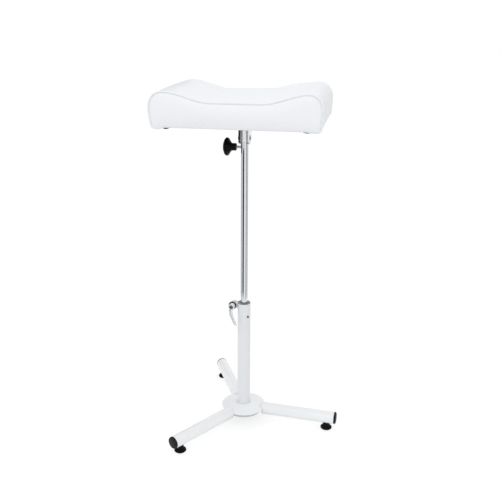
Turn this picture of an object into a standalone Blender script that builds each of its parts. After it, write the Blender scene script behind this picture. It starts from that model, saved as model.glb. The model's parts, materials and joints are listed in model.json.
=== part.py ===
"""Pedicure footrest: a padded trough on a telescopic post that stands on three tube legs.

Units are metres and +Z is up. The floor is z = 0, and the origin lies on it, in the middle of
the outline seen from above. The pad faces -Y, where the person giving the treatment sits.
"""

import math

import bmesh
import bpy
from mathutils import Vector

# Clearances between pieces
FIT = 0.0003
SLIDE_FIT = 0.0002
HOLE_FIT = 0.0003

# Column: the outer tube, split at its top so that a lever can clamp the post
COLUMN_OD = 0.030
COLUMN_WALL = 0.002
COLUMN_TOP = 0.300
BUSH_FLANGE = 0.0010
BUSH_FLANGE_INSET = 0.0008
BUSH_LENGTH = 0.042
SLIT_WIDTH = 0.003
SLIT_LENGTH = 0.038

# Three legs
LEG_OD = 0.028
LEG_WALL = 0.002
LEG_AXIS_Z = 0.029
LEG_INNER_END = 0.045
LEG_ANGLES = {"right": 0.0, "front_left": -120.0, "rear_left": 120.0}
TRIPOD_TURN = math.radians(-3.9)
PLUG_FLANGE = 0.0050
PLUG_SPIGOT = 0.008
FOOT_REACH = 0.202
FOOT_TO_LEG_END = 0.0178
FOOT_RADIUS = 0.0134
FOOT_DISC = 0.0046
FOOT_NECK_RADIUS = 0.0078
FOOT_STEM_RADIUS = 0.0037

# Hub: a domed disc that the column stands in and the legs grip
HUB_RADIUS = 0.052
HUB_BOTTOM = 0.0320
HUB_RIM_TOP = 0.0345
HUB_DOME_TOP = 0.0396
HUB_COLLAR_TOP = 0.0414
HUB_CAP_RADIUS = 0.043
HUB_CAP_BOTTOM = 0.0205
HUB_CUP_RADIUS = 0.0195
HUB_CUP_BOTTOM = 0.013
HUB_CAP_FLOOR = 0.016

# Split clamp and its ratchet lever
LUG_THICKNESS = 0.0055
LUG_HEIGHT = 0.012
CLAMP_REACH = 0.0254
LUG_REACH = CLAMP_REACH + LUG_HEIGHT / 2 + 0.0005
STUD_RADIUS = 0.003
LEVER_COLLAR_RADIUS = 0.0092
LEVER_COLLAR = 0.0022
LEVER_HUB_RADIUS = 0.0072
LEVER_HUB_LENGTH = 0.0135
LEVER_ARM = 0.042
LEVER_BEND = 0.0128
LEVER_LEAN = math.radians(15.0)
LEVER_RECESS_RADIUS = 0.0046
LEVER_RECESS_DEPTH = 0.0078

# Bush screw on the column
BUSH_SCREW_ANGLE = math.radians(-40.0)
BUSH_SCREW_DROP = 0.0315
BUSH_SCREW_HEAD = 0.0024

# Post: the chromed inner tube with a plastic glide on its tail
POST_OD = 0.016
POST_WALL = 0.002
POST_TOP = 0.6697
JOINT_EDGE = 0.0001
GLIDE_HEIGHT = 0.015
GLIDE_FLOOR = 0.003

# Knob that locks the turning of the head
KNOB_Z = 0.659
KNOB_RADIUS = 0.020
KNOB_HUB_RADIUS = 0.0080
KNOB_FACE_X = -0.0473
KNOB_RIM_X = -0.0385
KNOB_HUB_END_X = -0.0180
KNOB_FLUTES = 10
KNOB_FLUTE_DEPTH = 0.0008
BOSS_RADIUS = 0.0042
BOSS_OUT = 0.0012
SHOE_RADIUS = 0.0025

# Tilt head and bracket
PIVOT_Z = 0.679
PIN_RADIUS = 0.004
HEAD_TOP = 0.7055
SPIGOT_LENGTH = 0.040
GROOVE_DEPTH = 0.0005
GROOVE_HEIGHT = 0.007
EAR_THICKNESS = 0.0036
EAR_DROP = 0.0126
EAR_CORNER = 0.0046
EAR_FRONT = 0.0108
EAR_REAR = 0.026
PLATE_THICKNESS = 0.003
PLATE_HALF_X = 0.035
PLATE_HALF_Y = 0.030
SCREW_HALF_X = 0.026
SCREW_HALF_Y = 0.021

# Pad
PAD_WIDTH = 0.348
PAD_DEPTH = 0.236
PAD_BOTTOM = 0.7125
TROUGH_HEIGHT = 0.0545
HUMP_HEIGHT = 0.0742
HUMP_X = 0.1455
TROUGH_FLAT = 0.051
SHOULDER_HEIGHT = 0.0430
BOTTOM_ROUND = 0.010
CORNER_TURN = math.radians(73.0)
SIDE_LEAN = 0.0045
PAD_CROWN = 0.0100
CROWN_POWER = 2.5
HUMP_EASE = 0.50
PANEL_BULGE = 0.006
SIDE_BULGE = 0.0015
SEAM_CHAMFER = 0.0045
PIPING_RADIUS = 0.0019
BOARD_MARGIN = 0.018
BOARD_THICKNESS = 0.012
DUST_COVER = 0.0009

# The outline seen from above decides where the column stands in the frame
LEG_OUTER_END = FOOT_REACH + FOOT_TO_LEG_END
LEG_TIP = LEG_OUTER_END + FIT + PLUG_FLANGE
RIGHT_EDGE = LEG_TIP * math.cos(TRIPOD_TURN) - LEG_OD / 2 * math.sin(TRIPOD_TURN)
LEFT_EDGE = -PAD_WIDTH / 2 - SIDE_BULGE
FRONT_ANGLE = math.radians(120.0) - TRIPOD_TURN
REAR_ANGLE = math.radians(120.0) + TRIPOD_TURN
FRONT_EDGE = -LEG_TIP * math.sin(FRONT_ANGLE) + LEG_OD / 2 * math.cos(FRONT_ANGLE)
REAR_EDGE = LEG_TIP * math.sin(REAR_ANGLE) - LEG_OD / 2 * math.cos(REAR_ANGLE)
COLUMN_X = -(RIGHT_EDGE + LEFT_EDGE) / 2
COLUMN_Y = -(FRONT_EDGE + REAR_EDGE) / 2

COLUMN_RADIUS = COLUMN_OD / 2
COLUMN_BORE = COLUMN_RADIUS - COLUMN_WALL
POST_RADIUS = POST_OD / 2
POST_BORE = POST_RADIUS - POST_WALL
TUBE_TOP = COLUMN_TOP - BUSH_FLANGE - FIT
TUBE_BOTTOM = HUB_CAP_FLOOR + FIT
BUSH_BOTTOM = COLUMN_TOP - BUSH_LENGTH
GLIDE_TOP = BUSH_BOTTOM - FIT
GLIDE_BOTTOM = GLIDE_TOP - GLIDE_HEIGHT
POST_BOTTOM = GLIDE_BOTTOM + GLIDE_FLOOR + FIT
CLAMP_Z = TUBE_TOP - LUG_HEIGHT / 2
EAR_INNER = POST_RADIUS + FIT
EAR_OUTER = EAR_INNER + EAR_THICKNESS
PLATE_TOP = PAD_BOTTOM - FIT
PLATE_BOTTOM = PLATE_TOP - PLATE_THICKNESS


def clear_scene():
    for old in list(bpy.data.objects):
        bpy.data.objects.remove(old, do_unlink=True)


def finish_paint(name, color, roughness, metallic):
    paint = bpy.data.materials.new(name)
    paint.use_nodes = True
    shader = paint.node_tree.nodes["Principled BSDF"]
    shader.inputs["Base Color"].default_value = (*color, 1.0)
    shader.inputs["Roughness"].default_value = roughness
    shader.inputs["Metallic"].default_value = metallic
    paint.diffuse_color = (*color, 1.0)
    return paint


def frame_empty(name, parent, location, turn=0.0):
    empty = bpy.data.objects.new(name, None)
    empty.empty_display_size = 0.03
    empty.location = location
    empty.rotation_euler = (0.0, 0.0, turn)
    empty.parent = parent
    bpy.context.scene.collection.objects.link(empty)
    return empty


def add_object(name, bm, parent, paint=None, smooth=35.0):
    bmesh.ops.remove_doubles(bm, verts=bm.verts, dist=1e-6)
    bmesh.ops.recalc_face_normals(bm, faces=bm.faces)
    mesh = bpy.data.meshes.new(name)
    bm.to_mesh(mesh)
    bm.free()
    mesh.shade_smooth()
    mesh.set_sharp_from_angle(angle=math.radians(smooth))
    obj = bpy.data.objects.new(name, mesh)
    obj.parent = parent
    if paint is not None:
        mesh.materials.append(paint)
    bpy.context.scene.collection.objects.link(obj)
    return obj


def lathe(profile, segments):
    """Spins a closed (radius, height) outline about Z."""
    bm = bmesh.new()
    verts = [bm.verts.new((radius, 0.0, height)) for radius, height in profile]
    edges = [bm.edges.new((verts[i - 1], verts[i])) for i in range(len(verts))]
    bmesh.ops.spin(
        bm,
        geom=verts + edges,
        cent=(0.0, 0.0, 0.0),
        axis=(0.0, 0.0, 1.0),
        angle=2 * math.pi,
        steps=segments,
        use_merge=True,
    )
    bmesh.ops.remove_doubles(bm, verts=bm.verts, dist=1e-6)
    flat = [face for face in bm.faces if face.calc_area() < 1e-12]
    bmesh.ops.delete(bm, geom=flat, context="FACES")
    loose = [edge for edge in bm.edges if not edge.link_faces]
    bmesh.ops.delete(bm, geom=loose, context="EDGES")
    return bm


def tube_profile(outer, inner, bottom, top, edge=0.0004):
    return [
        (inner, bottom),
        (outer - edge, bottom),
        (outer, bottom + edge),
        (outer, top - edge),
        (outer - edge, top),
        (inner, top),
    ]


def rod_profile(radius, bottom, top, edge=0.0004):
    return [
        (0.0, bottom),
        (radius - edge, bottom),
        (radius, bottom + edge),
        (radius, top - edge),
        (radius - edge, top),
        (0.0, top),
    ]


def block(low, high):
    bm = bmesh.new()
    bmesh.ops.create_cube(bm, size=1.0)
    low = Vector(low)
    high = Vector(high)
    for vert in bm.verts:
        vert.co = Vector(low[i] + (vert.co[i] + 0.5) * (high[i] - low[i]) for i in range(3))
    return bm


def extrude_outline(points, depth):
    """Raises a closed XY outline along Z by depth."""
    bm = bmesh.new()
    base = bm.faces.new([bm.verts.new((x, y, 0.0)) for x, y in points])
    raised = bmesh.ops.extrude_face_region(bm, geom=[base])
    moved = [item for item in raised["geom"] if isinstance(item, bmesh.types.BMVert)]
    bmesh.ops.translate(bm, verts=moved, vec=(0.0, 0.0, depth))
    return bm


def helper(name, bm, parent):
    obj = add_object(name, bm, parent)
    obj.hide_render = True
    obj.display_type = "WIRE"
    return obj


def boolean(obj, other, operation):
    step = obj.modifiers.new(operation.lower() + "_" + other.name, "BOOLEAN")
    step.operation = operation
    step.solver = "EXACT"
    step.object = other


def turn(obj, x=0.0, y=0.0, z=0.0, location=(0.0, 0.0, 0.0)):
    obj.rotation_euler = (x, y, z)
    obj.location = location
    return obj


clear_scene()
WHITE_PAINT = (0.82, 0.83, 0.84)
white_hub = finish_paint("white_powder_coat_hub", WHITE_PAINT, 0.38, 0.0)
white_leg = finish_paint("white_powder_coat_leg", WHITE_PAINT, 0.38, 0.0)
white_column = finish_paint("white_powder_coat_column", WHITE_PAINT, 0.38, 0.0)
black_plug = finish_paint("black_plug_plastic", (0.021, 0.022, 0.024), 0.5, 0.0)
black_rubber = finish_paint("black_foot_rubber", (0.016, 0.016, 0.017), 0.75, 0.0)
black_knob = finish_paint("black_knob_plastic", (0.013, 0.013, 0.014), 0.35, 0.0)
black_glide = finish_paint("black_glide_plastic", (0.03, 0.03, 0.03), 0.5, 0.0)
grey_bush = finish_paint("grey_bush_plastic", (0.16, 0.165, 0.17), 0.5, 0.0)
chrome_post = finish_paint("chrome_post", (0.78, 0.79, 0.80), 0.06, 1.0)
chrome_head = finish_paint("chrome_head", (0.76, 0.77, 0.78), 0.08, 1.0)
chrome_bracket = finish_paint("chrome_bracket", (0.76, 0.77, 0.78), 0.1, 1.0)
zinc_lever = finish_paint("satin_zinc_lever", (0.48, 0.50, 0.50), 0.28, 1.0)
steel = finish_paint("zinc_plated_steel", (0.52, 0.53, 0.54), 0.3, 1.0)
dark_steel = finish_paint("blackened_steel", (0.05, 0.05, 0.055), 0.4, 1.0)
brass = finish_paint("brass", (0.72, 0.52, 0.22), 0.3, 1.0)
white_vinyl = finish_paint("white_upholstery_vinyl", (0.86, 0.87, 0.88), 0.42, 0.0)
piping_vinyl = finish_paint("white_piping_vinyl", (0.78, 0.79, 0.81), 0.45, 0.0)
plywood = finish_paint("birch_plywood", (0.62, 0.45, 0.27), 0.7, 0.0)
black_cloth = finish_paint("black_dust_cloth", (0.02, 0.02, 0.022), 0.9, 0.0)

footrest = frame_empty("footrest_frame", None, (COLUMN_X, COLUMN_Y, 0.0))
tripod = frame_empty("tripod_frame", footrest, (0.0, 0.0, 0.0), TRIPOD_TURN)


# Hub and its cap

def hub_profile(grow=0.0):
    """Outline of the domed disc; grow widens it evenly for the legs' clearance cut."""
    rim = HUB_RADIUS + grow
    low = HUB_BOTTOM - grow
    corner = 0.0010
    points = [(COLUMN_RADIUS + FIT, low), (rim - corner, low), (rim, low + corner)]
    points.append((rim, HUB_RIM_TOP + grow - corner))
    points.append((rim - corner, HUB_RIM_TOP + grow))
    inner = COLUMN_RADIUS + 0.004
    start = rim - corner
    for i in range(1, 6):
        share = i / 5
        radius = start + (inner - start) * share
        rise = math.sin(share * math.pi / 2) ** 1.3
        points.append((radius, HUB_RIM_TOP + grow + (HUB_DOME_TOP - HUB_RIM_TOP) * rise))
    points.append((COLUMN_RADIUS + 0.0012, HUB_COLLAR_TOP + grow))
    points.append((COLUMN_RADIUS + FIT, HUB_COLLAR_TOP + grow))
    return points


hub = add_object("hub_dome", lathe(hub_profile(), 44), tripod, white_hub)
hub_clearance = helper("hub_clearance", lathe(hub_profile(FIT), 44), tripod)
cap_pocket = COLUMN_RADIUS + FIT
hub_cap_outline = [
    (0.0, HUB_CUP_BOTTOM),
    (HUB_CUP_RADIUS - 0.001, HUB_CUP_BOTTOM),
    (HUB_CUP_RADIUS, HUB_CUP_BOTTOM + 0.001),
    (HUB_CUP_RADIUS + 0.0006, HUB_CAP_BOTTOM),
    (HUB_CAP_RADIUS - 0.003, HUB_CAP_BOTTOM),
    (HUB_CAP_RADIUS - 0.0009, HUB_CAP_BOTTOM + 0.0009),
    (HUB_CAP_RADIUS, HUB_CAP_BOTTOM + 0.003),
    (HUB_CAP_RADIUS, HUB_BOTTOM - FIT),
    (cap_pocket, HUB_BOTTOM - FIT),
    (cap_pocket, HUB_CAP_FLOOR),
    (0.0, HUB_CAP_FLOOR),
]
hub_cap = add_object("hub_cap", lathe(hub_cap_outline, 36), tripod, steel)


# Legs, end plugs and feet. Each leg frame points +Z along its tube.

def plug_outline():
    spigot = LEG_OD / 2 - LEG_WALL - FIT
    inner = -PLUG_SPIGOT
    outer = PLUG_FLANGE + FIT
    rim = LEG_OD / 2
    return [
        (0.0, inner),
        (spigot - 0.001, inner),
        (spigot, inner + 0.001),
        (spigot, FIT),
        (rim, FIT),
        (rim, outer - 0.0028),
        (rim - 0.0009, outer - 0.0011),
        (rim - 0.003, outer - 0.0002),
        (0.0, outer),
    ]


def leg_outline():
    """A tube with a closed, rounded inner end."""
    outer = LEG_OD / 2
    bore = outer - LEG_WALL
    edge = 0.0004
    return [
        (0.0, LEG_INNER_END),
        (outer - 0.003, LEG_INNER_END),
        (outer - 0.0009, LEG_INNER_END + 0.0009),
        (outer, LEG_INNER_END + 0.003),
        (outer, LEG_OUTER_END - edge),
        (outer - edge, LEG_OUTER_END),
        (bore, LEG_OUTER_END),
        (bore, LEG_INNER_END + LEG_WALL),
        (0.0, LEG_INNER_END + LEG_WALL),
    ]


def foot_outline():
    return [
        (0.0, 0.0),
        (FOOT_RADIUS - 0.0012, 0.0),
        (FOOT_RADIUS, 0.0012),
        (FOOT_RADIUS, FOOT_DISC - 0.0016),
        (FOOT_RADIUS - 0.0009, FOOT_DISC - 0.0004),
        (FOOT_RADIUS - 0.0026, FOOT_DISC),
        (FOOT_NECK_RADIUS + 0.0014, FOOT_DISC + 0.0004),
        (FOOT_NECK_RADIUS, FOOT_DISC + 0.0020),
        (FOOT_NECK_RADIUS, 0.019),
        (0.0, 0.019),
    ]


def stem_outline():
    wall_top = LEG_AXIS_Z - LEG_OD / 2 + LEG_WALL
    return [
        (0.0, FOOT_DISC),
        (FOOT_STEM_RADIUS, FOOT_DISC),
        (FOOT_STEM_RADIUS, wall_top + 0.0012),
        (FOOT_STEM_RADIUS + 0.0012, wall_top + 0.002),
        (FOOT_STEM_RADIUS - 0.0008, wall_top + 0.006),
        (0.0, wall_top + 0.006),
    ]


for side, degrees in LEG_ANGLES.items():
    heading = math.radians(degrees)
    along = Vector((math.cos(heading), math.sin(heading), 0.0))
    axis = frame_empty("leg_axis_" + side, tripod, (0.0, 0.0, LEG_AXIS_Z))
    turn(axis, 0.0, math.pi / 2, heading, (0.0, 0.0, LEG_AXIS_Z))

    leg = add_object("leg_" + side, lathe(leg_outline(), 32), axis, white_leg)
    boolean(leg, hub_clearance, "DIFFERENCE")
    foot_spot = along * FOOT_REACH
    hole_outline = rod_profile(FOOT_STEM_RADIUS + HOLE_FIT, 0.010, LEG_AXIS_Z)
    stem_hole = helper("stem_hole_" + side, lathe(hole_outline, 20), tripod)
    stem_hole.location = foot_spot
    boolean(leg, stem_hole, "DIFFERENCE")

    plug = add_object("leg_plug_" + side, lathe(plug_outline(), 24), axis, black_plug)
    plug.location = (0.0, 0.0, LEG_OUTER_END)

    foot = add_object("foot_" + side, lathe(foot_outline(), 24), tripod, black_rubber)
    foot.location = foot_spot
    saddle_outline = rod_profile(LEG_OD / 2 + FIT, FOOT_REACH - 0.03, FOOT_REACH + 0.03)
    saddle = helper("foot_saddle_" + side, lathe(saddle_outline, 32), axis)
    boolean(foot, saddle, "DIFFERENCE")
    stem = helper("foot_stem_" + side, lathe(stem_outline(), 20), tripod)
    stem.location = foot_spot
    boolean(foot, stem, "UNION")


# Column with its split clamp. The lugs point to -X of the tripod, away from the right leg.

column_outline = tube_profile(COLUMN_RADIUS, COLUMN_BORE, TUBE_BOTTOM, TUBE_TOP)
column = add_object("column_tube", lathe(column_outline, 40), tripod, white_column)
lug_bottom = TUBE_TOP - LUG_HEIGHT
for name, sign in (("front", -1.0), ("rear", 1.0)):
    near = sign * SLIT_WIDTH / 2
    far = sign * (SLIT_WIDTH / 2 + LUG_THICKNESS)
    corner = LUG_HEIGHT / 2
    outline = [(-COLUMN_BORE - COLUMN_WALL / 2, -corner)]
    for i in range(9):
        angle = -math.pi / 2 + i * math.pi / 8
        reach = -(LUG_REACH - corner) - corner * math.cos(angle)
        outline.append((reach, corner * math.sin(angle)))
    outline.append((-COLUMN_BORE - COLUMN_WALL / 2, corner))
    lug = helper("clamp_lug_" + name, extrude_outline(outline, LUG_THICKNESS), tripod)
    turn(lug, math.pi / 2, 0.0, 0.0, (0.0, max(near, far), CLAMP_Z))
    boolean(column, lug, "UNION")
slit_low = (-COLUMN_RADIUS - 0.002, -SLIT_WIDTH / 2, TUBE_TOP - SLIT_LENGTH)
slit_high = (-COLUMN_BORE + 0.004, SLIT_WIDTH / 2, TUBE_TOP + 0.01)
slit = helper("column_slit", block(slit_low, slit_high), tripod)
boolean(column, slit, "DIFFERENCE")
bolt_hole_outline = rod_profile(STUD_RADIUS + HOLE_FIT, -0.02, 0.02)
bolt_hole = helper("clamp_bolt_hole", lathe(bolt_hole_outline, 20), tripod)
turn(bolt_hole, math.pi / 2, 0.0, 0.0, (-CLAMP_REACH, 0.0, CLAMP_Z))
boolean(column, bolt_hole, "DIFFERENCE")

# Guide bush: a flanged plastic sleeve, slit on the same side as the column
bush_bore = POST_RADIUS + SLIDE_FIT
bush_sleeve = COLUMN_BORE - FIT
bush_flange = COLUMN_RADIUS - BUSH_FLANGE_INSET
bush_outline = [
    (bush_bore, BUSH_BOTTOM),
    (bush_sleeve - 0.0006, BUSH_BOTTOM),
    (bush_sleeve, BUSH_BOTTOM + 0.0006),
    (bush_sleeve, TUBE_TOP + FIT),
    (bush_flange, TUBE_TOP + FIT),
    (bush_flange, COLUMN_TOP - 0.0004),
    (bush_flange - 0.0004, COLUMN_TOP),
    (bush_bore + 0.0008, COLUMN_TOP),
    (bush_bore, COLUMN_TOP - 0.0008),
]
bush = add_object("guide_bush", lathe(bush_outline, 32), tripod, grey_bush)
bush_slit_low = (-COLUMN_RADIUS - 0.002, -SLIT_WIDTH / 3, BUSH_BOTTOM - 0.002)
bush_slit_high = (-POST_RADIUS + 0.003, SLIT_WIDTH / 3, COLUMN_TOP + 0.002)
bush_slit = helper("bush_slit", block(bush_slit_low, bush_slit_high), tripod)
boolean(bush, bush_slit, "DIFFERENCE")

# Screw that holds the bush in the column
screw_shank = 0.0015
screw_reach = COLUMN_RADIUS + FIT
screw_outline = [
    (0.0, POST_RADIUS + 0.0012),
    (screw_shank, POST_RADIUS + 0.0016),
    (screw_shank, screw_reach),
    (BUSH_SCREW_HEAD, screw_reach),
    (BUSH_SCREW_HEAD, screw_reach + 0.0008),
    (BUSH_SCREW_HEAD * 0.7, screw_reach + 0.0016),
    (0.0, screw_reach + 0.0019),
]
screw_z = COLUMN_TOP - BUSH_SCREW_DROP
bush_screw = add_object("bush_screw", lathe(screw_outline, 20), tripod, steel)
turn(bush_screw, 0.0, math.pi / 2, BUSH_SCREW_ANGLE, (0.0, 0.0, screw_z))
screw_hole_outline = rod_profile(screw_shank + HOLE_FIT, 0.0, COLUMN_RADIUS + 0.004)
screw_hole = helper("bush_screw_hole", lathe(screw_hole_outline, 16), tripod)
turn(screw_hole, 0.0, math.pi / 2, BUSH_SCREW_ANGLE, (0.0, 0.0, screw_z))
boolean(column, screw_hole, "DIFFERENCE")
boolean(bush, screw_hole, "DIFFERENCE")

# Clamp nut behind the rear lug, lever stud, and the handle that lifts off its toothed insert
clamp_axis = frame_empty("clamp_axis", tripod, (-CLAMP_REACH, 0.0, CLAMP_Z))
turn(clamp_axis, math.pi / 2, 0.0, 0.0, (-CLAMP_REACH, 0.0, CLAMP_Z))
lug_face = SLIT_WIDTH / 2 + LUG_THICKNESS
nut_flats = 0.010
nut_corners = [
    (
        nut_flats / math.sqrt(3) * math.cos(math.radians(60 * i)),
        nut_flats / math.sqrt(3) * math.sin(math.radians(60 * i)),
    )
    for i in range(6)
]
nut = add_object("clamp_nut", extrude_outline(nut_corners, 0.005), clamp_axis, steel)
nut.location = (0.0, 0.0, -lug_face - FIT - 0.005)
nut_bore_outline = rod_profile(STUD_RADIUS + HOLE_FIT, -0.002, 0.007)
nut_bore = helper("clamp_nut_bore", lathe(nut_bore_outline, 20), clamp_axis)
nut_bore.location = nut.location
boolean(nut, nut_bore, "DIFFERENCE")

collar_back = lug_face + FIT
collar_top = collar_back + LEVER_COLLAR
handle_back = collar_top + FIT
handle_front = collar_back + LEVER_HUB_LENGTH
recess_floor = handle_front - LEVER_RECESS_DEPTH
insert_radius = 0.0058
insert_height = 0.0020
handle_outline = [
    (insert_radius + HOLE_FIT, handle_back),
    (LEVER_HUB_RADIUS - 0.0006, handle_back),
    (LEVER_HUB_RADIUS, handle_back + 0.0006),
    (LEVER_HUB_RADIUS, handle_front - 0.0026),
    (LEVER_HUB_RADIUS - 0.0005, handle_front - 0.0010),
    (LEVER_HUB_RADIUS - 0.0016, handle_front),
    (LEVER_RECESS_RADIUS, handle_front),
    (LEVER_RECESS_RADIUS, recess_floor),
    (STUD_RADIUS + HOLE_FIT, recess_floor),
    (STUD_RADIUS + HOLE_FIT, handle_back + insert_height + FIT),
    (insert_radius + HOLE_FIT, handle_back + insert_height + FIT),
]
handle = add_object("lever_handle", lathe(handle_outline, 28), clamp_axis, zinc_lever)
arm_root = LEVER_RECESS_RADIUS + 0.0006
arm_stations = [
    (-0.0004, arm_root, 0.0046, 0.0034),
    (-0.0020, LEVER_ARM * 0.24, 0.0046, 0.0034),
    (-0.0008, LEVER_ARM * 0.40, 0.0043, 0.0032),
    (0.0022, LEVER_ARM * 0.56, 0.0041, 0.0031),
    (0.0062, LEVER_ARM * 0.74, 0.0039, 0.0031),
    (LEVER_BEND * 0.84, LEVER_ARM * 0.92, 0.0037, 0.0030),
    (LEVER_BEND * 0.96, LEVER_ARM * 0.98, 0.0029, 0.0023),
    (LEVER_BEND, LEVER_ARM, 0.0014, 0.0011),
]


def arm_form():
    """An oval arm that hangs down, bends towards the column and leans away from it."""
    bm = bmesh.new()
    path = [Vector((x, -drop, drop * math.tan(LEVER_LEAN))) for x, drop, _, _ in arm_stations]
    last = len(path) - 1
    loops = []
    for i, (_, _, half_width, half_depth) in enumerate(arm_stations):
        along = (path[min(i + 1, last)] - path[max(i - 1, 0)]).normalized()
        across = Vector((0.0, 0.0, 1.0)).cross(along).normalized()
        out = along.cross(across)
        loop = []
        for k in range(16):
            spin = 2 * math.pi * k / 16
            edge = across * (half_width * math.cos(spin)) + out * (half_depth * math.sin(spin))
            loop.append(bm.verts.new(path[i] + edge))
        loops.append(loop)
    for first, second in zip(loops, loops[1:]):
        for k in range(16):
            bm.faces.new((first[k - 1], first[k], second[k], second[k - 1]))
    bm.faces.new(list(reversed(loops[0])))
    bm.faces.new(loops[-1])
    bmesh.ops.recalc_face_normals(bm, faces=bm.faces)
    return bm


arm = helper("lever_arm", arm_form(), clamp_axis)
arm.location = (0.0, 0.0, collar_back + 0.0080)
boolean(handle, arm, "UNION")

insert_outline = [
    (STUD_RADIUS + HOLE_FIT, collar_back),
    (LEVER_COLLAR_RADIUS - 0.0004, collar_back),
    (LEVER_COLLAR_RADIUS, collar_back + 0.0004),
    (LEVER_COLLAR_RADIUS, collar_top - 0.0005),
    (LEVER_COLLAR_RADIUS - 0.0005, collar_top),
    (insert_radius, collar_top),
    (insert_radius, collar_top + insert_height),
    (STUD_RADIUS + HOLE_FIT, collar_top + insert_height),
]
insert = add_object("lever_insert", lathe(insert_outline, 32), clamp_axis, dark_steel)
head_seat = handle_front - 0.0030
stud_outline = rod_profile(STUD_RADIUS, -lug_face - 0.0065, head_seat - FIT)
stud = add_object("lever_stud", lathe(stud_outline, 20), clamp_axis, steel)
cheese_outline = [
    (0.0, head_seat),
    (0.0041, head_seat),
    (0.0041, head_seat + 0.0016),
    (0.0034, head_seat + 0.0022),
    (0.0, head_seat + 0.0022),
]
cheese = add_object("lever_screw", lathe(cheese_outline, 24), clamp_axis, dark_steel)
slot_box = block((-0.005, -0.0005, head_seat + 0.0012), (0.005, 0.0005, head_seat + 0.004))
slot_cutter = helper("lever_screw_slot", slot_box, clamp_axis)
slot_cutter.rotation_euler = (0.0, 0.0, 0.6)
boolean(cheese, slot_cutter, "DIFFERENCE")


# Post, its glide and the threaded boss for the knob

post_frame = frame_empty("post_frame", footrest, (0.0, 0.0, 0.0))
post_outline = tube_profile(POST_RADIUS, POST_BORE, POST_BOTTOM, POST_TOP, JOINT_EDGE)
post = add_object("post_tube", lathe(post_outline, 32), post_frame, chrome_post)
glide_radius = COLUMN_BORE - FIT
glide_outline = [
    (0.0, GLIDE_BOTTOM),
    (glide_radius - 0.001, GLIDE_BOTTOM),
    (glide_radius, GLIDE_BOTTOM + 0.001),
    (glide_radius, GLIDE_TOP - 0.0006),
    (glide_radius - 0.0006, GLIDE_TOP),
    (POST_RADIUS + FIT, GLIDE_TOP),
    (POST_RADIUS + FIT, GLIDE_BOTTOM + GLIDE_FLOOR),
    (0.0, GLIDE_BOTTOM + GLIDE_FLOOR),
]
glide = add_object("post_glide", lathe(glide_outline, 24), post_frame, black_glide)
rivet_radius = 0.002
rivet_z = GLIDE_BOTTOM + GLIDE_HEIGHT * 0.6
rivet_half = glide_radius - 0.0012
rivet_outline = rod_profile(rivet_radius, -rivet_half, rivet_half, 0.0005)
rivet = add_object("glide_rivet", lathe(rivet_outline, 16), post_frame, steel)
turn(rivet, math.pi / 2, 0.0, 0.0, (0.0, 0.0, rivet_z))
rivet_hole_outline = rod_profile(rivet_radius + HOLE_FIT, -COLUMN_RADIUS, COLUMN_RADIUS)
rivet_hole = helper("glide_rivet_hole", lathe(rivet_hole_outline, 16), post_frame)
turn(rivet_hole, math.pi / 2, 0.0, 0.0, (0.0, 0.0, rivet_z))
boolean(glide, rivet_hole, "DIFFERENCE")
boolean(post, rivet_hole, "DIFFERENCE")

# The knob frame points +Z along the knob's axis, towards -X
knob_axis = frame_empty("knob_axis", post_frame, (0.0, 0.0, KNOB_Z))
turn(knob_axis, 0.0, -math.pi / 2, 0.0, (0.0, 0.0, KNOB_Z))
knob_bore = STUD_RADIUS + HOLE_FIT
boss_inner = POST_BORE + FIT
boss_outer = POST_RADIUS + BOSS_OUT
boss_outline = tube_profile(BOSS_RADIUS, knob_bore, boss_inner, boss_outer)
boss = add_object("knob_boss", lathe(boss_outline, 24), knob_axis, chrome_post)
boss_hole_outline = rod_profile(BOSS_RADIUS + HOLE_FIT, 0.002, POST_RADIUS + 0.004)
boss_hole = helper("knob_boss_hole", lathe(boss_hole_outline, 24), knob_axis)
boolean(post, boss_hole, "DIFFERENCE")

groove_radius = POST_BORE - FIT - GROOVE_DEPTH
shoe_inner = groove_radius + FIT
shoe_outer = POST_RADIUS + 0.0004
shoe_outline = rod_profile(SHOE_RADIUS, shoe_inner, shoe_outer, 0.0003)
shoe = add_object("pressure_shoe", lathe(shoe_outline, 20), knob_axis, brass)
stud_inner = shoe_outer + FIT
stud_outer = -KNOB_HUB_END_X + 0.014
knob_stud_outline = rod_profile(STUD_RADIUS, stud_inner, stud_outer)
knob_stud = add_object("knob_stud", lathe(knob_stud_outline, 20), knob_axis, steel)

face = -KNOB_FACE_X
rim = -KNOB_RIM_X
hub_end = -KNOB_HUB_END_X
knob_outline = [
    (knob_bore, hub_end),
    (KNOB_HUB_RADIUS - 0.0009, hub_end),
    (KNOB_HUB_RADIUS, hub_end + 0.0009),
    (KNOB_HUB_RADIUS + 0.0001, hub_end + 0.0092),
    (KNOB_HUB_RADIUS + 0.0014, hub_end + 0.0112),
    (KNOB_RADIUS * 0.62, hub_end + 0.0134),
    (KNOB_RADIUS * 0.84, hub_end + 0.0158),
    (KNOB_RADIUS * 0.97, hub_end + 0.0178),
    (KNOB_RADIUS, rim),
    (KNOB_RADIUS * 0.955, rim + 0.0024),
    (KNOB_RADIUS * 0.82, rim + 0.0048),
    (KNOB_RADIUS * 0.5, rim + 0.0072),
    (0.0, face),
    (0.0, stud_outer + FIT),
    (knob_bore, stud_outer + FIT),
]
knob_bm = lathe(knob_outline, 4 * KNOB_FLUTES)
for vert in knob_bm.verts:
    reach = math.hypot(vert.co.x, vert.co.y)
    if reach > KNOB_RADIUS * 0.68:
        angle = math.atan2(vert.co.y, vert.co.x)
        share = (reach / KNOB_RADIUS - 0.68) / 0.32
        dip = KNOB_FLUTE_DEPTH * share * (0.5 - 0.5 * math.cos(KNOB_FLUTES * angle))
        vert.co.x *= 1 - dip / reach
        vert.co.y *= 1 - dip / reach
knob = add_object("knob_body", knob_bm, knob_axis, black_knob, 50.0)


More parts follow.
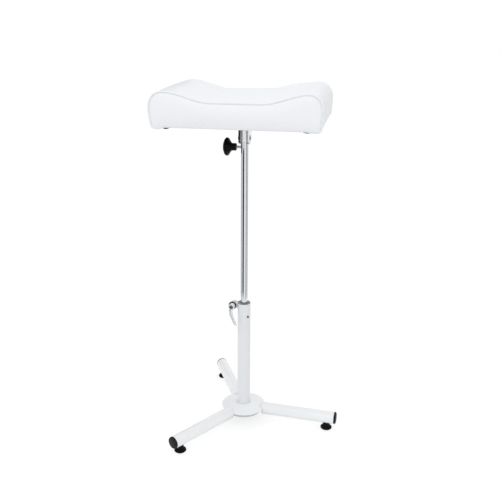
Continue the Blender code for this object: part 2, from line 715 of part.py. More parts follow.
# Tilt head: its spigot turns in the post, its eye carries the bracket's pin

head_frame = frame_empty("head_frame", footrest, (0.0, 0.0, 0.0))
spigot_radius = POST_BORE - FIT
head_shoulder = POST_TOP + FIT
groove_low = KNOB_Z - GROOVE_HEIGHT / 2
groove_high = KNOB_Z + GROOVE_HEIGHT / 2
head_outline = [
    (0.0, head_shoulder - SPIGOT_LENGTH),
    (spigot_radius - 0.001, head_shoulder - SPIGOT_LENGTH),
    (spigot_radius, head_shoulder - SPIGOT_LENGTH + 0.001),
    (spigot_radius, groove_low),
    (groove_radius, groove_low + GROOVE_DEPTH),
    (groove_radius, groove_high - GROOVE_DEPTH),
    (spigot_radius, groove_high),
    (spigot_radius, head_shoulder),
    (POST_RADIUS - JOINT_EDGE, head_shoulder),
    (POST_RADIUS, head_shoulder + JOINT_EDGE),
    (POST_RADIUS, HEAD_TOP - 0.002),
    (POST_RADIUS - 0.0006, HEAD_TOP - 0.0006),
    (POST_RADIUS - 0.002, HEAD_TOP),
    (0.0, HEAD_TOP),
]
head = add_object("tilt_head", lathe(head_outline, 28), head_frame, chrome_head)
eye_outline = rod_profile(PIN_RADIUS + HOLE_FIT, -0.02, 0.02)
eye = helper("tilt_eye", lathe(eye_outline, 20), head_frame)
turn(eye, 0.0, math.pi / 2, 0.0, (0.0, 0.0, PIVOT_Z))
boolean(head, eye, "DIFFERENCE")


# Bracket: two ears under a screwed plate, with a riveted pin through the head

tilt_axis = frame_empty("tilt_axis", footrest, (0.0, 0.0, PIVOT_Z))
plate_low = (-PLATE_HALF_X, -PLATE_HALF_Y, PLATE_BOTTOM - PIVOT_Z)
plate_high = (PLATE_HALF_X, PLATE_HALF_Y, PLATE_TOP - PIVOT_Z)
bracket = add_object("tilt_bracket", block(plate_low, plate_high), tilt_axis, chrome_bracket)


def ear_outline():
    """Side view of an ear: a rounded end below the pin, a plumb front and a sloping rear edge."""
    top = PLATE_BOTTOM - PIVOT_Z + PLATE_THICKNESS / 2
    reach = EAR_FRONT - EAR_CORNER
    points = [(EAR_REAR, top), (-EAR_FRONT, top)]
    for side, first in ((-reach, math.pi), (reach, math.pi * 1.5)):
        for i in range(6):
            angle = first + math.pi / 2 * i / 5
            rise = EAR_CORNER * math.sin(angle) + EAR_CORNER - EAR_DROP
            points.append((side + EAR_CORNER * math.cos(angle), rise))
    return points


for name, start in (("left", -EAR_OUTER), ("right", EAR_INNER)):
    ear = helper("bracket_ear_" + name, extrude_outline(ear_outline(), EAR_THICKNESS), tilt_axis)
    turn(ear, math.pi / 2, 0.0, math.pi / 2, (start, 0.0, 0.0))
    boolean(bracket, ear, "UNION")
pin_hole_outline = rod_profile(PIN_RADIUS + HOLE_FIT, -0.03, 0.03)
pin_hole = helper("bracket_pin_hole", lathe(pin_hole_outline, 20), tilt_axis)
turn(pin_hole, 0.0, math.pi / 2, 0.0)
boolean(bracket, pin_hole, "DIFFERENCE")

pin_seat = EAR_OUTER + FIT
pin_head = 0.0066
pin_outline = [
    (0.0, -pin_seat - 0.0024),
    (pin_head * 0.6, -pin_seat - 0.0019),
    (pin_head, -pin_seat - 0.0004),
    (pin_head, -pin_seat),
    (PIN_RADIUS, -pin_seat),
    (PIN_RADIUS, pin_seat),
    (pin_head, pin_seat),
    (pin_head, pin_seat + 0.0004),
    (pin_head * 0.6, pin_seat + 0.0019),
    (0.0, pin_seat + 0.0024),
]
pin = add_object("pivot_pin", lathe(pin_outline, 20), tilt_axis, chrome_bracket)
turn(pin, 0.0, math.pi / 2, 0.0)

# Pad board, dust cover and the screws that hold the plate
pocket_x = PAD_WIDTH / 2 - BOARD_MARGIN
pocket_y = PAD_DEPTH / 2 - BOARD_MARGIN
dust_low = PAD_BOTTOM - PIVOT_Z
dust_high = dust_low + DUST_COVER
board_low = dust_high + FIT
board_high = board_low + BOARD_THICKNESS


def sheet(low_z, high_z, gap):
    low = (-pocket_x + gap, -pocket_y + gap, low_z)
    high = (pocket_x - gap, pocket_y - gap, high_z)
    return block(low, high)


dust_cover = add_object("dust_cover", sheet(dust_low, dust_high, FIT), tilt_axis, black_cloth)
board = add_object("pad_board", sheet(board_low, board_high, FIT), tilt_axis, plywood)
plate_screw_shank = 0.0019
seat_z = PLATE_BOTTOM - PIVOT_Z - FIT
tip_z = board_low + BOARD_THICKNESS * 0.7
plate_screw_outline = [
    (0.0, seat_z - 0.0022),
    (0.0026, seat_z - 0.0019),
    (0.0038, seat_z - 0.0008),
    (0.0038, seat_z),
    (plate_screw_shank, seat_z),
    (plate_screw_shank, tip_z - 0.002),
    (0.0, tip_z),
]
spots = [(x, y) for x in (-SCREW_HALF_X, SCREW_HALF_X) for y in (-SCREW_HALF_Y, SCREW_HALF_Y)]
for number, (x, y) in enumerate(spots, start=1):
    screw_name = f"plate_screw_{number}"
    screw = add_object(screw_name, lathe(plate_screw_outline, 16), tilt_axis, steel)
    screw.location = (x, y, 0.0)
    pilot_outline = rod_profile(plate_screw_shank + HOLE_FIT, seat_z - 0.004, tip_z + 0.0006)
    pilot = helper(f"plate_screw_hole_{number}", lathe(pilot_outline, 16), tilt_axis)
    pilot.location = (x, y, 0.0)
    for drilled in (bracket, dust_cover, board):
        boolean(drilled, pilot, "DIFFERENCE")


# Pad: the end panels carry the trough outline, the wrap panel is crowned between the seams

def smooth_step(share):
    share = min(max(share, 0.0), 1.0)
    return share * share * (3 - 2 * share)


def top_height(x):
    rise = smooth_step((abs(x) - TROUGH_FLAT) / (HUMP_X - TROUGH_FLAT))
    return TROUGH_HEIGHT + (HUMP_HEIGHT - TROUGH_HEIGHT) * rise


FLAT_STEPS = 6


def pad_outline():
    """Seam outline in X and height, counter-clockwise seen from the front."""
    half = PAD_WIDTH / 2
    flat = half - SIDE_LEAN - BOTTOM_ROUND * math.sin(CORNER_TURN)
    points = []
    for i in range(FLAT_STEPS + 1):
        points.append((-flat + 2 * flat * i / FLAT_STEPS, 0.0))
    right = []
    for i in range(1, 5):
        angle = CORNER_TURN * i / 4
        x = flat + BOTTOM_ROUND * math.sin(angle)
        right.append((x, BOTTOM_ROUND - BOTTOM_ROUND * math.cos(angle)))
    corner_top = right[-1][1]
    for share in (0.33, 0.67):
        height = corner_top + (SHOULDER_HEIGHT - corner_top) * share
        right.append((half - SIDE_LEAN * (1 - share) ** 2, height))
    for i in range(6):
        angle = math.pi / 2 * i / 5
        x = HUMP_X + (half - HUMP_X) * math.cos(angle)
        right.append((x, SHOULDER_HEIGHT + (HUMP_HEIGHT - SHOULDER_HEIGHT) * math.sin(angle)))
    points += right
    steps = 18
    for i in range(1, steps):
        x = HUMP_X - 2 * HUMP_X * i / steps
        points.append((x, top_height(x)))
    points += [(-x, height) for x, height in reversed(right)]
    return points


def inset(outline, amount):
    """Moves a closed outline inwards, square to itself, by amount."""
    moved = []
    count = len(outline)
    for i, point in enumerate(outline):
        ahead = (Vector(outline[(i + 1) % count]) - Vector(point)).normalized()
        behind = (Vector(point) - Vector(outline[i - 1])).normalized()
        along = (ahead + behind).normalized()
        moved.append(Vector(point) + Vector((-along.y, along.x)) * amount)
    return moved


def pad_form():
    bm = bmesh.new()
    outline = pad_outline()
    edge = PAD_DEPTH / 2
    rings = []
    for level, depth in ((0.62, PANEL_BULGE), (0.34, PANEL_BULGE * 0.8), (0.12, PANEL_BULGE * 0.4)):
        ring = []
        for point in outline:
            x, height = point
            middle = Vector((max(min(x, HUMP_X - 0.03), 0.03 - HUMP_X), TROUGH_HEIGHT * 0.55))
            spot = Vector(point).lerp(middle, level)
            ring.append((spot.x, -edge - depth, spot.y))
        rings.append(ring)
    rings.append([(spot.x, -edge, spot.y) for spot in inset(outline, SEAM_CHAMFER)])
    half_depth = edge - SEAM_CHAMFER
    for share in (-1.0, -0.9, -0.68, -0.36, 0.0):
        ring = []
        fullness = 1 - abs(share) ** CROWN_POWER
        for x, height in outline:
            ease = 1 - HUMP_EASE * smooth_step((abs(x) - 0.09) / 0.05)
            lift = PAD_CROWN * ease * fullness * smooth_step((height - 0.02) / 0.028)
            side = smooth_step((abs(x) - HUMP_X) / (PAD_WIDTH / 2 - HUMP_X))
            wide = math.copysign(SIDE_BULGE * fullness * side, x) if height > 0.005 else 0.0
            ring.append((x + wide, share * half_depth, height + lift))
        rings.append(ring)
    for ring in list(reversed(rings[:-1])):
        rings.append([(x, -y, height) for x, y, height in ring])
    loops = [[bm.verts.new(spot) for spot in ring] for ring in rings]
    count = len(outline)
    for first, second in zip(loops, loops[1:]):
        for i in range(count):
            j = (i + 1) % count
            bm.faces.new((first[i], first[j], second[j], second[i]))
    bm.faces.new(loops[0])
    bm.faces.new(list(reversed(loops[-1])))
    return bm


pad = add_object("cushion_pad", pad_form(), tilt_axis, white_vinyl, 60.0)
pad.location = (0.0, 0.0, PAD_BOTTOM - PIVOT_Z)
pocket_low = (-pocket_x, -pocket_y, dust_low - 0.01)
pocket_high = (pocket_x, pocket_y, board_high + FIT)
pocket = helper("board_pocket", block(pocket_low, pocket_high), tilt_axis)
boolean(pad, pocket, "DIFFERENCE")

# Piping over both end panels, lying in the chamfer of the seam, from one lower corner to the other
piping_back = 0.0004
for name, sign in (("front", -1.0), ("rear", 1.0)):
    curve = bpy.data.curves.new("piping_" + name, "CURVE")
    curve.dimensions = "3D"
    curve.bevel_depth = PIPING_RADIUS
    curve.bevel_resolution = 1
    spline = curve.splines.new("POLY")
    path = inset(pad_outline(), piping_back)[FLAT_STEPS + 1:]
    spline.points.add(len(path) - 1)
    for spot, knot in zip(path, spline.points):
        knot.co = (spot.x, sign * (PAD_DEPTH / 2 - piping_back), spot.y, 1.0)
    curve.use_fill_caps = True
    curve.materials.append(piping_vinyl)
    piping = bpy.data.objects.new("piping_" + name, curve)
    piping.parent = tilt_axis
    piping.location = (0.0, 0.0, PAD_BOTTOM - PIVOT_Z)
    bpy.context.scene.collection.objects.link(piping)
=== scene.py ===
# %% [markdown]
# # A pedicure footrest, dressed for its picture
# The footrest is a white three-legged stand with a chromed post that slides in a column, and a
# white pad with a trough for the lower leg. Its rigid pieces come from a CAD model, packed as a
# fixed frame. This lesson gives them their finishes, and makes anew what is soft: the pad's cover,
# its piping and the black cloth below it. Everything is in metres, with Z up.

# %% Load the frame
import json
import math

import bmesh
import bpy
from mathutils import Euler, Matrix, Vector
from mathutils.geometry import intersect_point_line

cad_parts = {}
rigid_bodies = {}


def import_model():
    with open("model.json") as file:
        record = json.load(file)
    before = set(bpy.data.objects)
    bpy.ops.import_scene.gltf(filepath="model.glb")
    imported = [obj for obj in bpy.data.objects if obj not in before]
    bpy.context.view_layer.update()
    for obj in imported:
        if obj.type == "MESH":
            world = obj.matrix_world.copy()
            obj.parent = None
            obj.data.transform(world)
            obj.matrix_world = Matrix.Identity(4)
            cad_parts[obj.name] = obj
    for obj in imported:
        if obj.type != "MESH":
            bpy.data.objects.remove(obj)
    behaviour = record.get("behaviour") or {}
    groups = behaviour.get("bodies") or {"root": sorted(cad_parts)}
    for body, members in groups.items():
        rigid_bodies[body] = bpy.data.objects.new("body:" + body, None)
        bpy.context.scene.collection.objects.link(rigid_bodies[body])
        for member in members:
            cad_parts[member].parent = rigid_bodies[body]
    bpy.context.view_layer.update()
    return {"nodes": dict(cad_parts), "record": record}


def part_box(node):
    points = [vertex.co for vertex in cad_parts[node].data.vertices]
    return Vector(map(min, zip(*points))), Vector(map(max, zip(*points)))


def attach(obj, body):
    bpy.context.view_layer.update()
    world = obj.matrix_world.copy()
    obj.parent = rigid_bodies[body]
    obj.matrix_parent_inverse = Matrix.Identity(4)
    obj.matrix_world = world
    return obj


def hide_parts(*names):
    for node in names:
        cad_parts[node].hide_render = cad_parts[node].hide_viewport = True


for leftover in list(bpy.data.objects):
    bpy.data.objects.remove(leftover)
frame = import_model()
MM = 0.001
post_low, post_high = (Vector(corner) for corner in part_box("post_tube"))
AXIS = Vector(((post_low.x + post_high.x) / 2, (post_low.y + post_high.y) / 2, 0.0))
print("post axis:", [round(v, 4) for v in AXIS])

# %% [markdown]
# ## Camera
# The picture is square, so the lens is worked out from a focal length in pixels: that length times
# the sensor's width, divided by the picture's width. A camera could also be aimed with a Track To
# constraint, but a fixed matrix keeps its slight roll. Its angles are in radians, and its place is
# given from the foot of the post's axis.

# %% Camera
scene = bpy.context.scene
PICTURE = 500
FOCAL = 712.13
camera_data = bpy.data.cameras.new("camera")
camera_data.sensor_width = 36.0
camera_data.lens = FOCAL * camera_data.sensor_width / PICTURE
camera = bpy.data.objects.new("camera", camera_data)
TILT_DOWN, TURN_LEFT, CAMERA_ROLL = 0.3322, 0.1786, 0.007
CAMERA_FROM_POST = Vector((0.28071, -1.48358, 0.9477))
aim = Euler((math.pi / 2 - TILT_DOWN, 0.0, TURN_LEFT)).to_matrix()
aim = aim @ Matrix.Rotation(CAMERA_ROLL, 3, "Z")
camera.matrix_world = Matrix.Translation(AXIS + CAMERA_FROM_POST) @ aim.to_4x4()
scene.collection.objects.link(camera)
scene.camera = camera
scene.view_settings.view_transform = "Standard"
print("lens:", round(camera_data.lens, 2), "mm")

# %% [markdown]
# ## Colours and nodes
# Colours are written as sRGB hex, the way a paint chart or a picture gives them. Blender's sockets
# hold linear values, so one function turns the one into the other. A second small function adds a
# node, sets its properties and fills or links its sockets. Built on it, a few more make what nearly
# every finish needs: noise, a blend of two colours, a span of values, a relief and the shader. So a
# finish reads like a recipe.

# %% Colour and node helpers
def linear(code):
    """The linear RGBA of an sRGB hex colour such as "E9EBEE"."""
    parts = [int(code[i:i + 2], 16) / 255 for i in (0, 2, 4)]
    parts = [p / 12.92 if p <= 0.04045 else ((p + 0.055) / 1.055) ** 2.4 for p in parts]
    return (*parts, 1.0)


def add(tree, kind, inputs=None, **settings):
    """Adds a node. Settings are its properties; inputs are its sockets, as values or as links."""
    node = tree.nodes.new(kind)
    for name, value in settings.items():
        setattr(node, name, value)
    for socket, value in (inputs or {}).items():
        if isinstance(value, bpy.types.NodeSocket):
            tree.links.new(value, node.inputs[socket])
        else:
            node.inputs[socket].default_value = value
    return node


def start_finish(name):
    """A new material with an empty tree, and the place on the object that its patterns follow."""
    finish = bpy.data.materials.new(name)
    finish.use_nodes = True
    finish.node_tree.nodes.clear()
    place = add(finish.node_tree, "ShaderNodeTexCoord").outputs["Object"]
    return finish, finish.node_tree, place


def noise(tree, place, size, detail):
    """Soft noise from 0 to 1, with waves of this size."""
    inputs = {"Vector": place, "Scale": 1 / size, "Detail": detail}
    return add(tree, "ShaderNodeTexNoise", inputs).outputs["Fac"]


def blend(tree, share, first, second):
    """A colour from the first, where share is 0, to the second, where it is 1."""
    return add(tree, "ShaderNodeMix", {0: share, 6: first, 7: second}, data_type="RGBA").outputs[2]


def span(tree, share, low, high):
    """A value from low, where share is 0, to high, where it is 1."""
    inputs = {"Value": share, "To Min": low, "To Max": high}
    return add(tree, "ShaderNodeMapRange", inputs).outputs["Result"]


def share_between(tree, value, low, high):
    """0 up to low, 1 from high on, and even between them."""
    inputs = {"Value": value, "From Min": low, "From Max": high}
    return add(tree, "ShaderNodeMapRange", inputs).outputs["Result"]


def relief(tree, height, strength, depth):
    """The direction of the surface under a relief of this depth."""
    inputs = {"Height": height, "Strength": strength, "Distance": depth}
    return add(tree, "ShaderNodeBump", inputs).outputs["Normal"]


def shade(tree, inputs):
    """Closes a finish with the Principled shader."""
    shader = add(tree, "ShaderNodeBsdfPrincipled", inputs)
    add(tree, "ShaderNodeOutputMaterial", {"Surface": shader.outputs["BSDF"]})


print("mid grey 808080 is", round(linear("808080")[0], 3), "in linear light")

# %% [markdown]
# ## Powder coat on the stand
# The hub, legs and column are steel, sprayed with white polyester powder and baked. The melt flows
# out into a skin with a slight orange peel, waves of about 2 mm, and a half gloss. It could be a
# plain white, but then each tube would look like paper: the peel breaks up the highlights, a faint
# cloud in the tint stands for uneven film thickness, and painted shade greys the inner corners. The
# column gets its own copy of the coat, tinted a shade greyer as painted shade on the upright tube.

# %% Powder coat
PEEL_WAVE, PEEL_DEPTH, CLOUD = 2.2 * MM, 0.04 * MM, 40 * MM
CORNER_SHADE = 7 * MM
# each row: the film's light and dark tint, and the tone of painted shade in inner corners
batches = {
    "polyester_powder_coat_baked": ("F1F3F5", "EDEFF1", "DEE1E4"),
    # the column's copy is tinted greyer: painted shade on the upright tube
    "polyester_powder_coat_column_shaded": ("E6E8EB", "E1E3E6", "D2D5D8"),
}
coats = {}
for name, (light, dark, shade_tone) in batches.items():
    coats[name], tree, place = start_finish(name)
    peel = noise(tree, place, PEEL_WAVE, 1.0)
    cloud = noise(tree, place, CLOUD, 3.0)
    film = blend(tree, cloud, linear(light), linear(dark))
    # painted shade: ambient occlusion greys the coat in inner corners, towards the row's shade tone
    corner_shade = add(tree, "ShaderNodeAmbientOcclusion", {"Distance": CORNER_SHADE}, samples=8)
    unshaded = share_between(tree, corner_shade.outputs["AO"], 0.25, 0.9)
    shade(tree, {
        "Base Color": blend(tree, unshaded, linear(shade_tone), film),
        "Roughness": span(tree, cloud, 0.26, 0.40), "IOR": 1.52,
        "Normal": relief(tree, peel, 0.25, PEEL_DEPTH)})
print("made", ", ".join(coats))

# %% [markdown]
# ## Bright metal
# The post and the bracket are polished steel under nickel and chrome. Chrome reflects a little over
# half of the light, nearly without colour, so it shows its surroundings and hardly any colour of its
# own. Polishing leaves hair lines along the tube: a noise that is squeezed across the tube and
# stretched along it draws them. The real lines are finer than a tenth of a millimetre, and are drawn
# at 0.6 mm so that they show. The turned head is nickelled to a satin instead, paler and less of a
# mirror. A bath plates a narrow slot poorly, so the facing sides of the bracket's ears, less than
# 10 mm from the middle of the post, stay a dull grey.

# %% Chrome plate
HAIR_ACROSS, HAIR_ALONG, HAIR_DEPTH = 0.6 * MM, 70 * MM, 0.01 * MM
HAZE = 25 * MM
platings = {
    "bright_chrome_plate_polished": ("D6D8DC", 1.0, 0.04, 0.11),
    "satin_nickel_plate_turned": ("F2F3F4", 0.6, 0.10, 0.20),
}
plate_finish = {}
for name, (tone, metal, smooth, rough) in platings.items():
    plate_finish[name], tree, place = start_finish(name)
    stretched = add(tree, "ShaderNodeMapping", {
        "Vector": place, "Scale": (1 / HAIR_ACROSS, 1 / HAIR_ACROSS, 1 / HAIR_ALONG)})
    hair = noise(tree, stretched.outputs["Vector"], 1.0, 2.0)
    haze = noise(tree, place, HAZE, 2.0)
    shade(tree, {
        "Base Color": linear(tone), "Metallic": metal, "Roughness": span(tree, haze, smooth, rough),
        "Normal": relief(tree, hair, 0.02, HAIR_DEPTH)})

# %% Chrome plate with a dull slot
SLOT_HALF = 10 * MM
slotted, tree, place = start_finish("bright_chrome_plate_dull_in_the_slot")
surface = add(tree, "ShaderNodeTexCoord")
facing = add(tree, "ShaderNodeVectorMath", {0: surface.outputs["Normal"], 1: (1.0, 0.0, 0.0)},
             operation="DOT_PRODUCT")
sideways = add(tree, "ShaderNodeMath", {0: facing.outputs["Value"]}, operation="ABSOLUTE")
across = add(tree, "ShaderNodeSeparateXYZ", {0: place})
near_middle = add(tree, "ShaderNodeMath", {0: across.outputs["X"], 1: AXIS.x, 2: SLOT_HALF},
                  operation="COMPARE")
inside = add(tree, "ShaderNodeMath", {0: sideways.outputs[0], 1: near_middle.outputs[0]},
             operation="MULTIPLY")
shade(tree, {
    "Base Color": linear("DADCDF"), "Metallic": span(tree, inside.outputs[0], 1.0, 0.1),
    "Roughness": span(tree, inside.outputs[0], 0.07, 0.45)})
print("made", ", ".join(plate_finish), "and", slotted.name)

# %% [markdown]
# ## Fastener metals
# The stud, the nut, the screws and the staples are zinc-plated steel: bright but soft in its
# reflections, with a faint bluish mottle from the passivation bath. The lever is die-cast zinc,
# tumbled and lacquered silver, so part of its light is that of a paint. The lever's screw is
# phosphated steel, grey and oily; its collar and the bush's screw are blackened and waxed. The shoe
# in the post is turned brass. All are metals, and keep the default IOR; they differ by colour, by
# roughness and by the grain that each process leaves.

# %% Zinc plate, die-cast zinc, dark steels and brass
metals = {
    "zinc_plated_steel_passivated": ("C9CDD2", "B4B9C0", 0.22, 0.36, 3.0 * MM, 0.02 * MM),
    "die_cast_zinc_lacquered": ("ECEDEF", "E2E4E7", 0.26, 0.36, 2.4 * MM, 0.02 * MM),
    "phosphated_steel_oiled": ("8A8C8F", "6E7073", 0.30, 0.45, 1.2 * MM, 0.02 * MM),
    "blackened_steel_waxed": ("303134", "222326", 0.30, 0.45, 1.2 * MM, 0.02 * MM),
    "turned_brass": ("D9B56C", "BE9650", 0.22, 0.34, 0.8 * MM, 0.03 * MM),
}
LACQUERED = {"die_cast_zinc_lacquered": 0.55}
MOTTLE = 6 * MM
metal_finish = {}
for name, (light, dark, smooth, rough, grain_size, depth) in metals.items():
    metal_finish[name], tree, place = start_finish(name)
    grain = noise(tree, place, grain_size, 3.0)
    mottle = noise(tree, place, MOTTLE, 2.0)
    shade(tree, {
        "Base Color": blend(tree, mottle, linear(light), linear(dark)),
        "Metallic": LACQUERED.get(name, 1.0), "Roughness": span(tree, grain, smooth, rough),
        "Normal": relief(tree, grain, 0.3, depth)})
print("made", ", ".join(metal_finish))

# %% [markdown]
# ## Moulded plastics and rubber
# The leg plugs are black polyethylene, moulded in a spark-eroded tool, which gives a fine sandy matt.
# The knob is a phenolic moulding, tumbled to a half gloss and darker. The feet are natural rubber,
# mattest of all. The bush in the column's mouth is grey acetal, waxy and even. Spark grit of 0.2 mm
# is drawn at 0.7 mm, because it would not show finer.

# %% Polyethylene, phenolic, rubber and acetal
plastics = {
    "polyethylene_spark_eroded": ("1A1B1D", "121315", 0.42, 0.58, 0.7 * MM, 0.06 * MM, 0.20),
    "phenolic_moulded_tumbled": ("131415", "0D0E0F", 0.26, 0.38, 1.5 * MM, 0.03 * MM, 0.06),
    "natural_rubber_moulded": ("121212", "0C0C0C", 0.62, 0.80, 0.9 * MM, 0.06 * MM, 0.12),
    "acetal_turned": ("888B8F", "797C80", 0.36, 0.46, 0.6 * MM, 0.04 * MM, 0.30),
}
MOULD_FLOW = 12 * MM
plastic_finish = {}
for name, (light, dark, smooth, rough, grit_size, depth, shine) in plastics.items():
    plastic_finish[name], tree, place = start_finish(name)
    grit = noise(tree, place, grit_size, 2.0)
    flow = noise(tree, place, MOULD_FLOW, 3.0)
    shade(tree, {
        "Base Color": blend(tree, flow, linear(light), linear(dark)),
        "Roughness": span(tree, flow, smooth, rough), "Specular IOR Level": shine,
        "Normal": relief(tree, grit, 0.35, depth)})
print("made", ", ".join(plastic_finish))

# %% [markdown]
# ## Birch plywood
# The pad's board is birch plywood, nine thin plies glued crosswise and sanded. It hardly shows, but
# its edge would give away a plain block: the plies alternate light and dark, and the face has a
# long, quiet grain. A wave across the height draws the plies, and a stretched noise the grain.

# %% Plywood
plywood, tree, place = start_finish("birch_plywood_sanded")
PLY = 1.4 * MM
GRAIN_LONG, GRAIN_WIDE = 90 * MM, 2.0 * MM
plies = add(tree, "ShaderNodeTexWave", {"Vector": place, "Scale": 1 / (2 * PLY) / 20 * 2 * math.pi},
            bands_direction="Z")
fibre_space = add(tree, "ShaderNodeMapping", {
    "Vector": place, "Scale": (1 / GRAIN_LONG, 1 / GRAIN_WIDE, 1 / GRAIN_WIDE)})
fibre = noise(tree, fibre_space.outputs["Vector"], 1.0, 4.0)
face = blend(tree, fibre, linear("DCC39A"), linear("C6A777"))
shade(tree, {
    "Base Color": blend(tree, plies.outputs["Fac"], face, linear("B08F60")), "Roughness": 0.62,
    "IOR": 1.5})
print("made", plywood.name)

# %% [markdown]
# ## Upholstery vinyl
# The pad is covered in white upholstery vinyl: a PVC skin on knitted cloth, embossed with a shallow
# hide grain by a steel roller. It reads as a clean, slightly cool white with a soft sheen. Cells of
# about 1.3 mm from a Voronoi pattern make the grain. The emboss is only some hundredths of a
# millimetre deep, so it takes the edge off the highlights and no more. The seams are greyed with
# painted shade.

# %% Vinyl
vinyl, tree, place = start_finish("upholstery_vinyl_embossed")
HIDE_CELL, HIDE_DEPTH = 1.3 * MM, 0.05 * MM
PULL, SEAM_SHADE = 70 * MM, 4 * MM
cells = add(tree, "ShaderNodeTexVoronoi", {"Vector": place, "Scale": 1 / HIDE_CELL},
            feature="DISTANCE_TO_EDGE")
hide = share_between(tree, cells.outputs["Distance"], 0.0, 0.25)
pull = noise(tree, place, PULL, 2.0)
skin = blend(tree, pull, linear("F2F4F7"), linear("EFF1F5"))
# painted shade: ambient occlusion greys the skin towards ECEEF1 in the seams' grooves
seam_shade = add(tree, "ShaderNodeAmbientOcclusion", {"Distance": SEAM_SHADE}, samples=8)
unshaded = share_between(tree, seam_shade.outputs["AO"], 0.2, 0.8)
shade(tree, {
    "Base Color": blend(tree, unshaded, linear("ECEEF1"), skin),
    "Roughness": span(tree, pull, 0.40, 0.50), "IOR": 1.53,
    "Normal": relief(tree, hide, 0.3, HIDE_DEPTH)})
print("made", vinyl.name)

# %% [markdown]
# ## Piping vinyl and spunbond cloth
# The piping is a strip of smoother vinyl sewn round a cord. It is tinted a shade greyer than the pad,
# as painted shade along the seam, and the strip gathers into ripples of some 5 mm as it turns
# corners.
# The cloth below the pad is black spunbond polypropylene, pressed flat with rows of hot pins. The
# pins stand 1 mm apart and are drawn at 2 mm, so that the dots show.

# %% Piping vinyl and spunbond
piping_vinyl, tree, place = start_finish("piping_vinyl_sewn")
RIPPLE, RIPPLE_DEPTH = 5.0 * MM, 0.25 * MM
ripple = noise(tree, place, RIPPLE, 1.0)
# the piping's two tones are a shade greyer than the skin's: painted shade along the seam
shade(tree, {
    "Base Color": blend(tree, ripple, linear("F1F3F6"), linear("EDEFF3")), "Roughness": 0.45,
    "IOR": 1.53, "Normal": relief(tree, ripple, 0.3, RIPPLE_DEPTH)})

spunbond, tree, place = start_finish("polypropylene_spunbond_pressed")
PIN_PITCH, PIN_DEPTH, WEB = 2.0 * MM, 0.15 * MM, 0.8 * MM
pins = add(tree, "ShaderNodeTexVoronoi", {
    "Vector": place, "Scale": 1 / PIN_PITCH, "Randomness": 0.15})
dot = share_between(tree, pins.outputs["Distance"], 0.2, 0.4)
web = noise(tree, place, WEB, 4.0)
shade(tree, {
    "Base Color": blend(tree, web, linear("2B2B2D"), linear("19191B")), "Roughness": 0.85,
    "IOR": 1.49, "Sheen Weight": 0.15, "Normal": relief(tree, dot, 0.5, PIN_DEPTH)})
print("made", piping_vinyl.name, "and", spunbond.name)

# %% [markdown]
# ## Finishes on the CAD pieces
# The record names a material slot for each solid, so a table from slot to finish dresses them all.
# A second table holds the few pieces whose finish differs a little from the rest of their slot.
# The imported meshes are loose triangles, which would show as facets. Their points must not be
# edited, so a small geometry node group welds them as they are drawn, drops the stored normals and
# shades everything smooth, except across edges sharper than 33 degrees. On the stamped bracket even
# slight edges stay, so that its flat edges mirror like flats.

# %% Weld, smooth and finish the solids
SLOT_FINISH = {
    "white_coat": coats["polyester_powder_coat_baked"],
    "chrome": plate_finish["bright_chrome_plate_polished"],
    "plated_steel": metal_finish["zinc_plated_steel_passivated"],
    "satin_zinc": metal_finish["die_cast_zinc_lacquered"],
    "dark_steel": metal_finish["blackened_steel_waxed"],
    "brass": metal_finish["turned_brass"],
    "black_plastic": plastic_finish["polyethylene_spark_eroded"],
    "black_knob": plastic_finish["phenolic_moulded_tumbled"],
    "black_rubber": plastic_finish["natural_rubber_moulded"],
    "grey_plastic": plastic_finish["acetal_turned"],
    "plywood": plywood,
    "black_cloth": spunbond,
    "white_vinyl": vinyl,
    "white_piping": piping_vinyl,
}
SHARP, SHARP_ON_STAMPINGS = math.radians(33.0), math.radians(3.0)
WELD = 0.005 * MM
smoother = bpy.data.node_groups.new("weld_and_smooth", "GeometryNodeTree")
smoother.interface.new_socket("Geometry", in_out="INPUT", socket_type="NodeSocketGeometry")
sharp_input = smoother.interface.new_socket("Sharp", in_out="INPUT", socket_type="NodeSocketFloat")
smoother.interface.new_socket("Geometry", in_out="OUTPUT", socket_type="NodeSocketGeometry")
solid = add(smoother, "NodeGroupInput")
welded = add(smoother, "GeometryNodeMergeByDistance", {
    "Geometry": solid.outputs[0], "Distance": WELD})
bend = add(smoother, "GeometryNodeInputMeshEdgeAngle")
sharp = add(smoother, "FunctionNodeCompare", {0: bend.outputs["Unsigned Angle"], 1: solid.outputs[1]},
            operation="GREATER_THAN")
shaded = add(smoother, "GeometryNodeSetMeshNormal", {
    "Mesh": welded.outputs[0], "Remove Custom": True, "Edge Sharpness": sharp.outputs[0],
    "Face Sharpness": False}, mode="SHARPNESS")
add(smoother, "NodeGroupOutput", {0: shaded.outputs[0]})

for row in frame["record"]["subparts"]:
    node = frame["nodes"][row["node"]]
    node.data.materials.clear()
    node.data.materials.append(SLOT_FINISH[row["material_slot"]])
    welder = node.modifiers.new("weld_and_smooth", "NODES")
    welder.node_group = smoother
    welder[sharp_input.identifier] = SHARP_ON_STAMPINGS if row["node"] == "tilt_bracket" else SHARP
OWN_FINISH = {
    # the column takes the greyer copy of the coat, which is painted shade
    "column_tube": coats["polyester_powder_coat_column_shaded"],
    "tilt_head": plate_finish["satin_nickel_plate_turned"],
    "tilt_bracket": slotted,
    "lever_screw": metal_finish["phosphated_steel_oiled"],
    "bush_screw": metal_finish["blackened_steel_waxed"],
}
for name, finish in OWN_FINISH.items():
    frame["nodes"][name].data.materials[0] = finish

# %% [markdown]
# ## The pad's seam line
# Both end panels of the pad are cut to one outline: a straight bottom, round lower corners, sides
# that lean out a little, full shoulders, and a trough between two humps. The outline is drawn as four
# paths, because a four-sided patch can then be filled with even quads, which fold and swell better
# than a fan of triangles. Heights are measured up from the pad's bottom, and x from its middle.

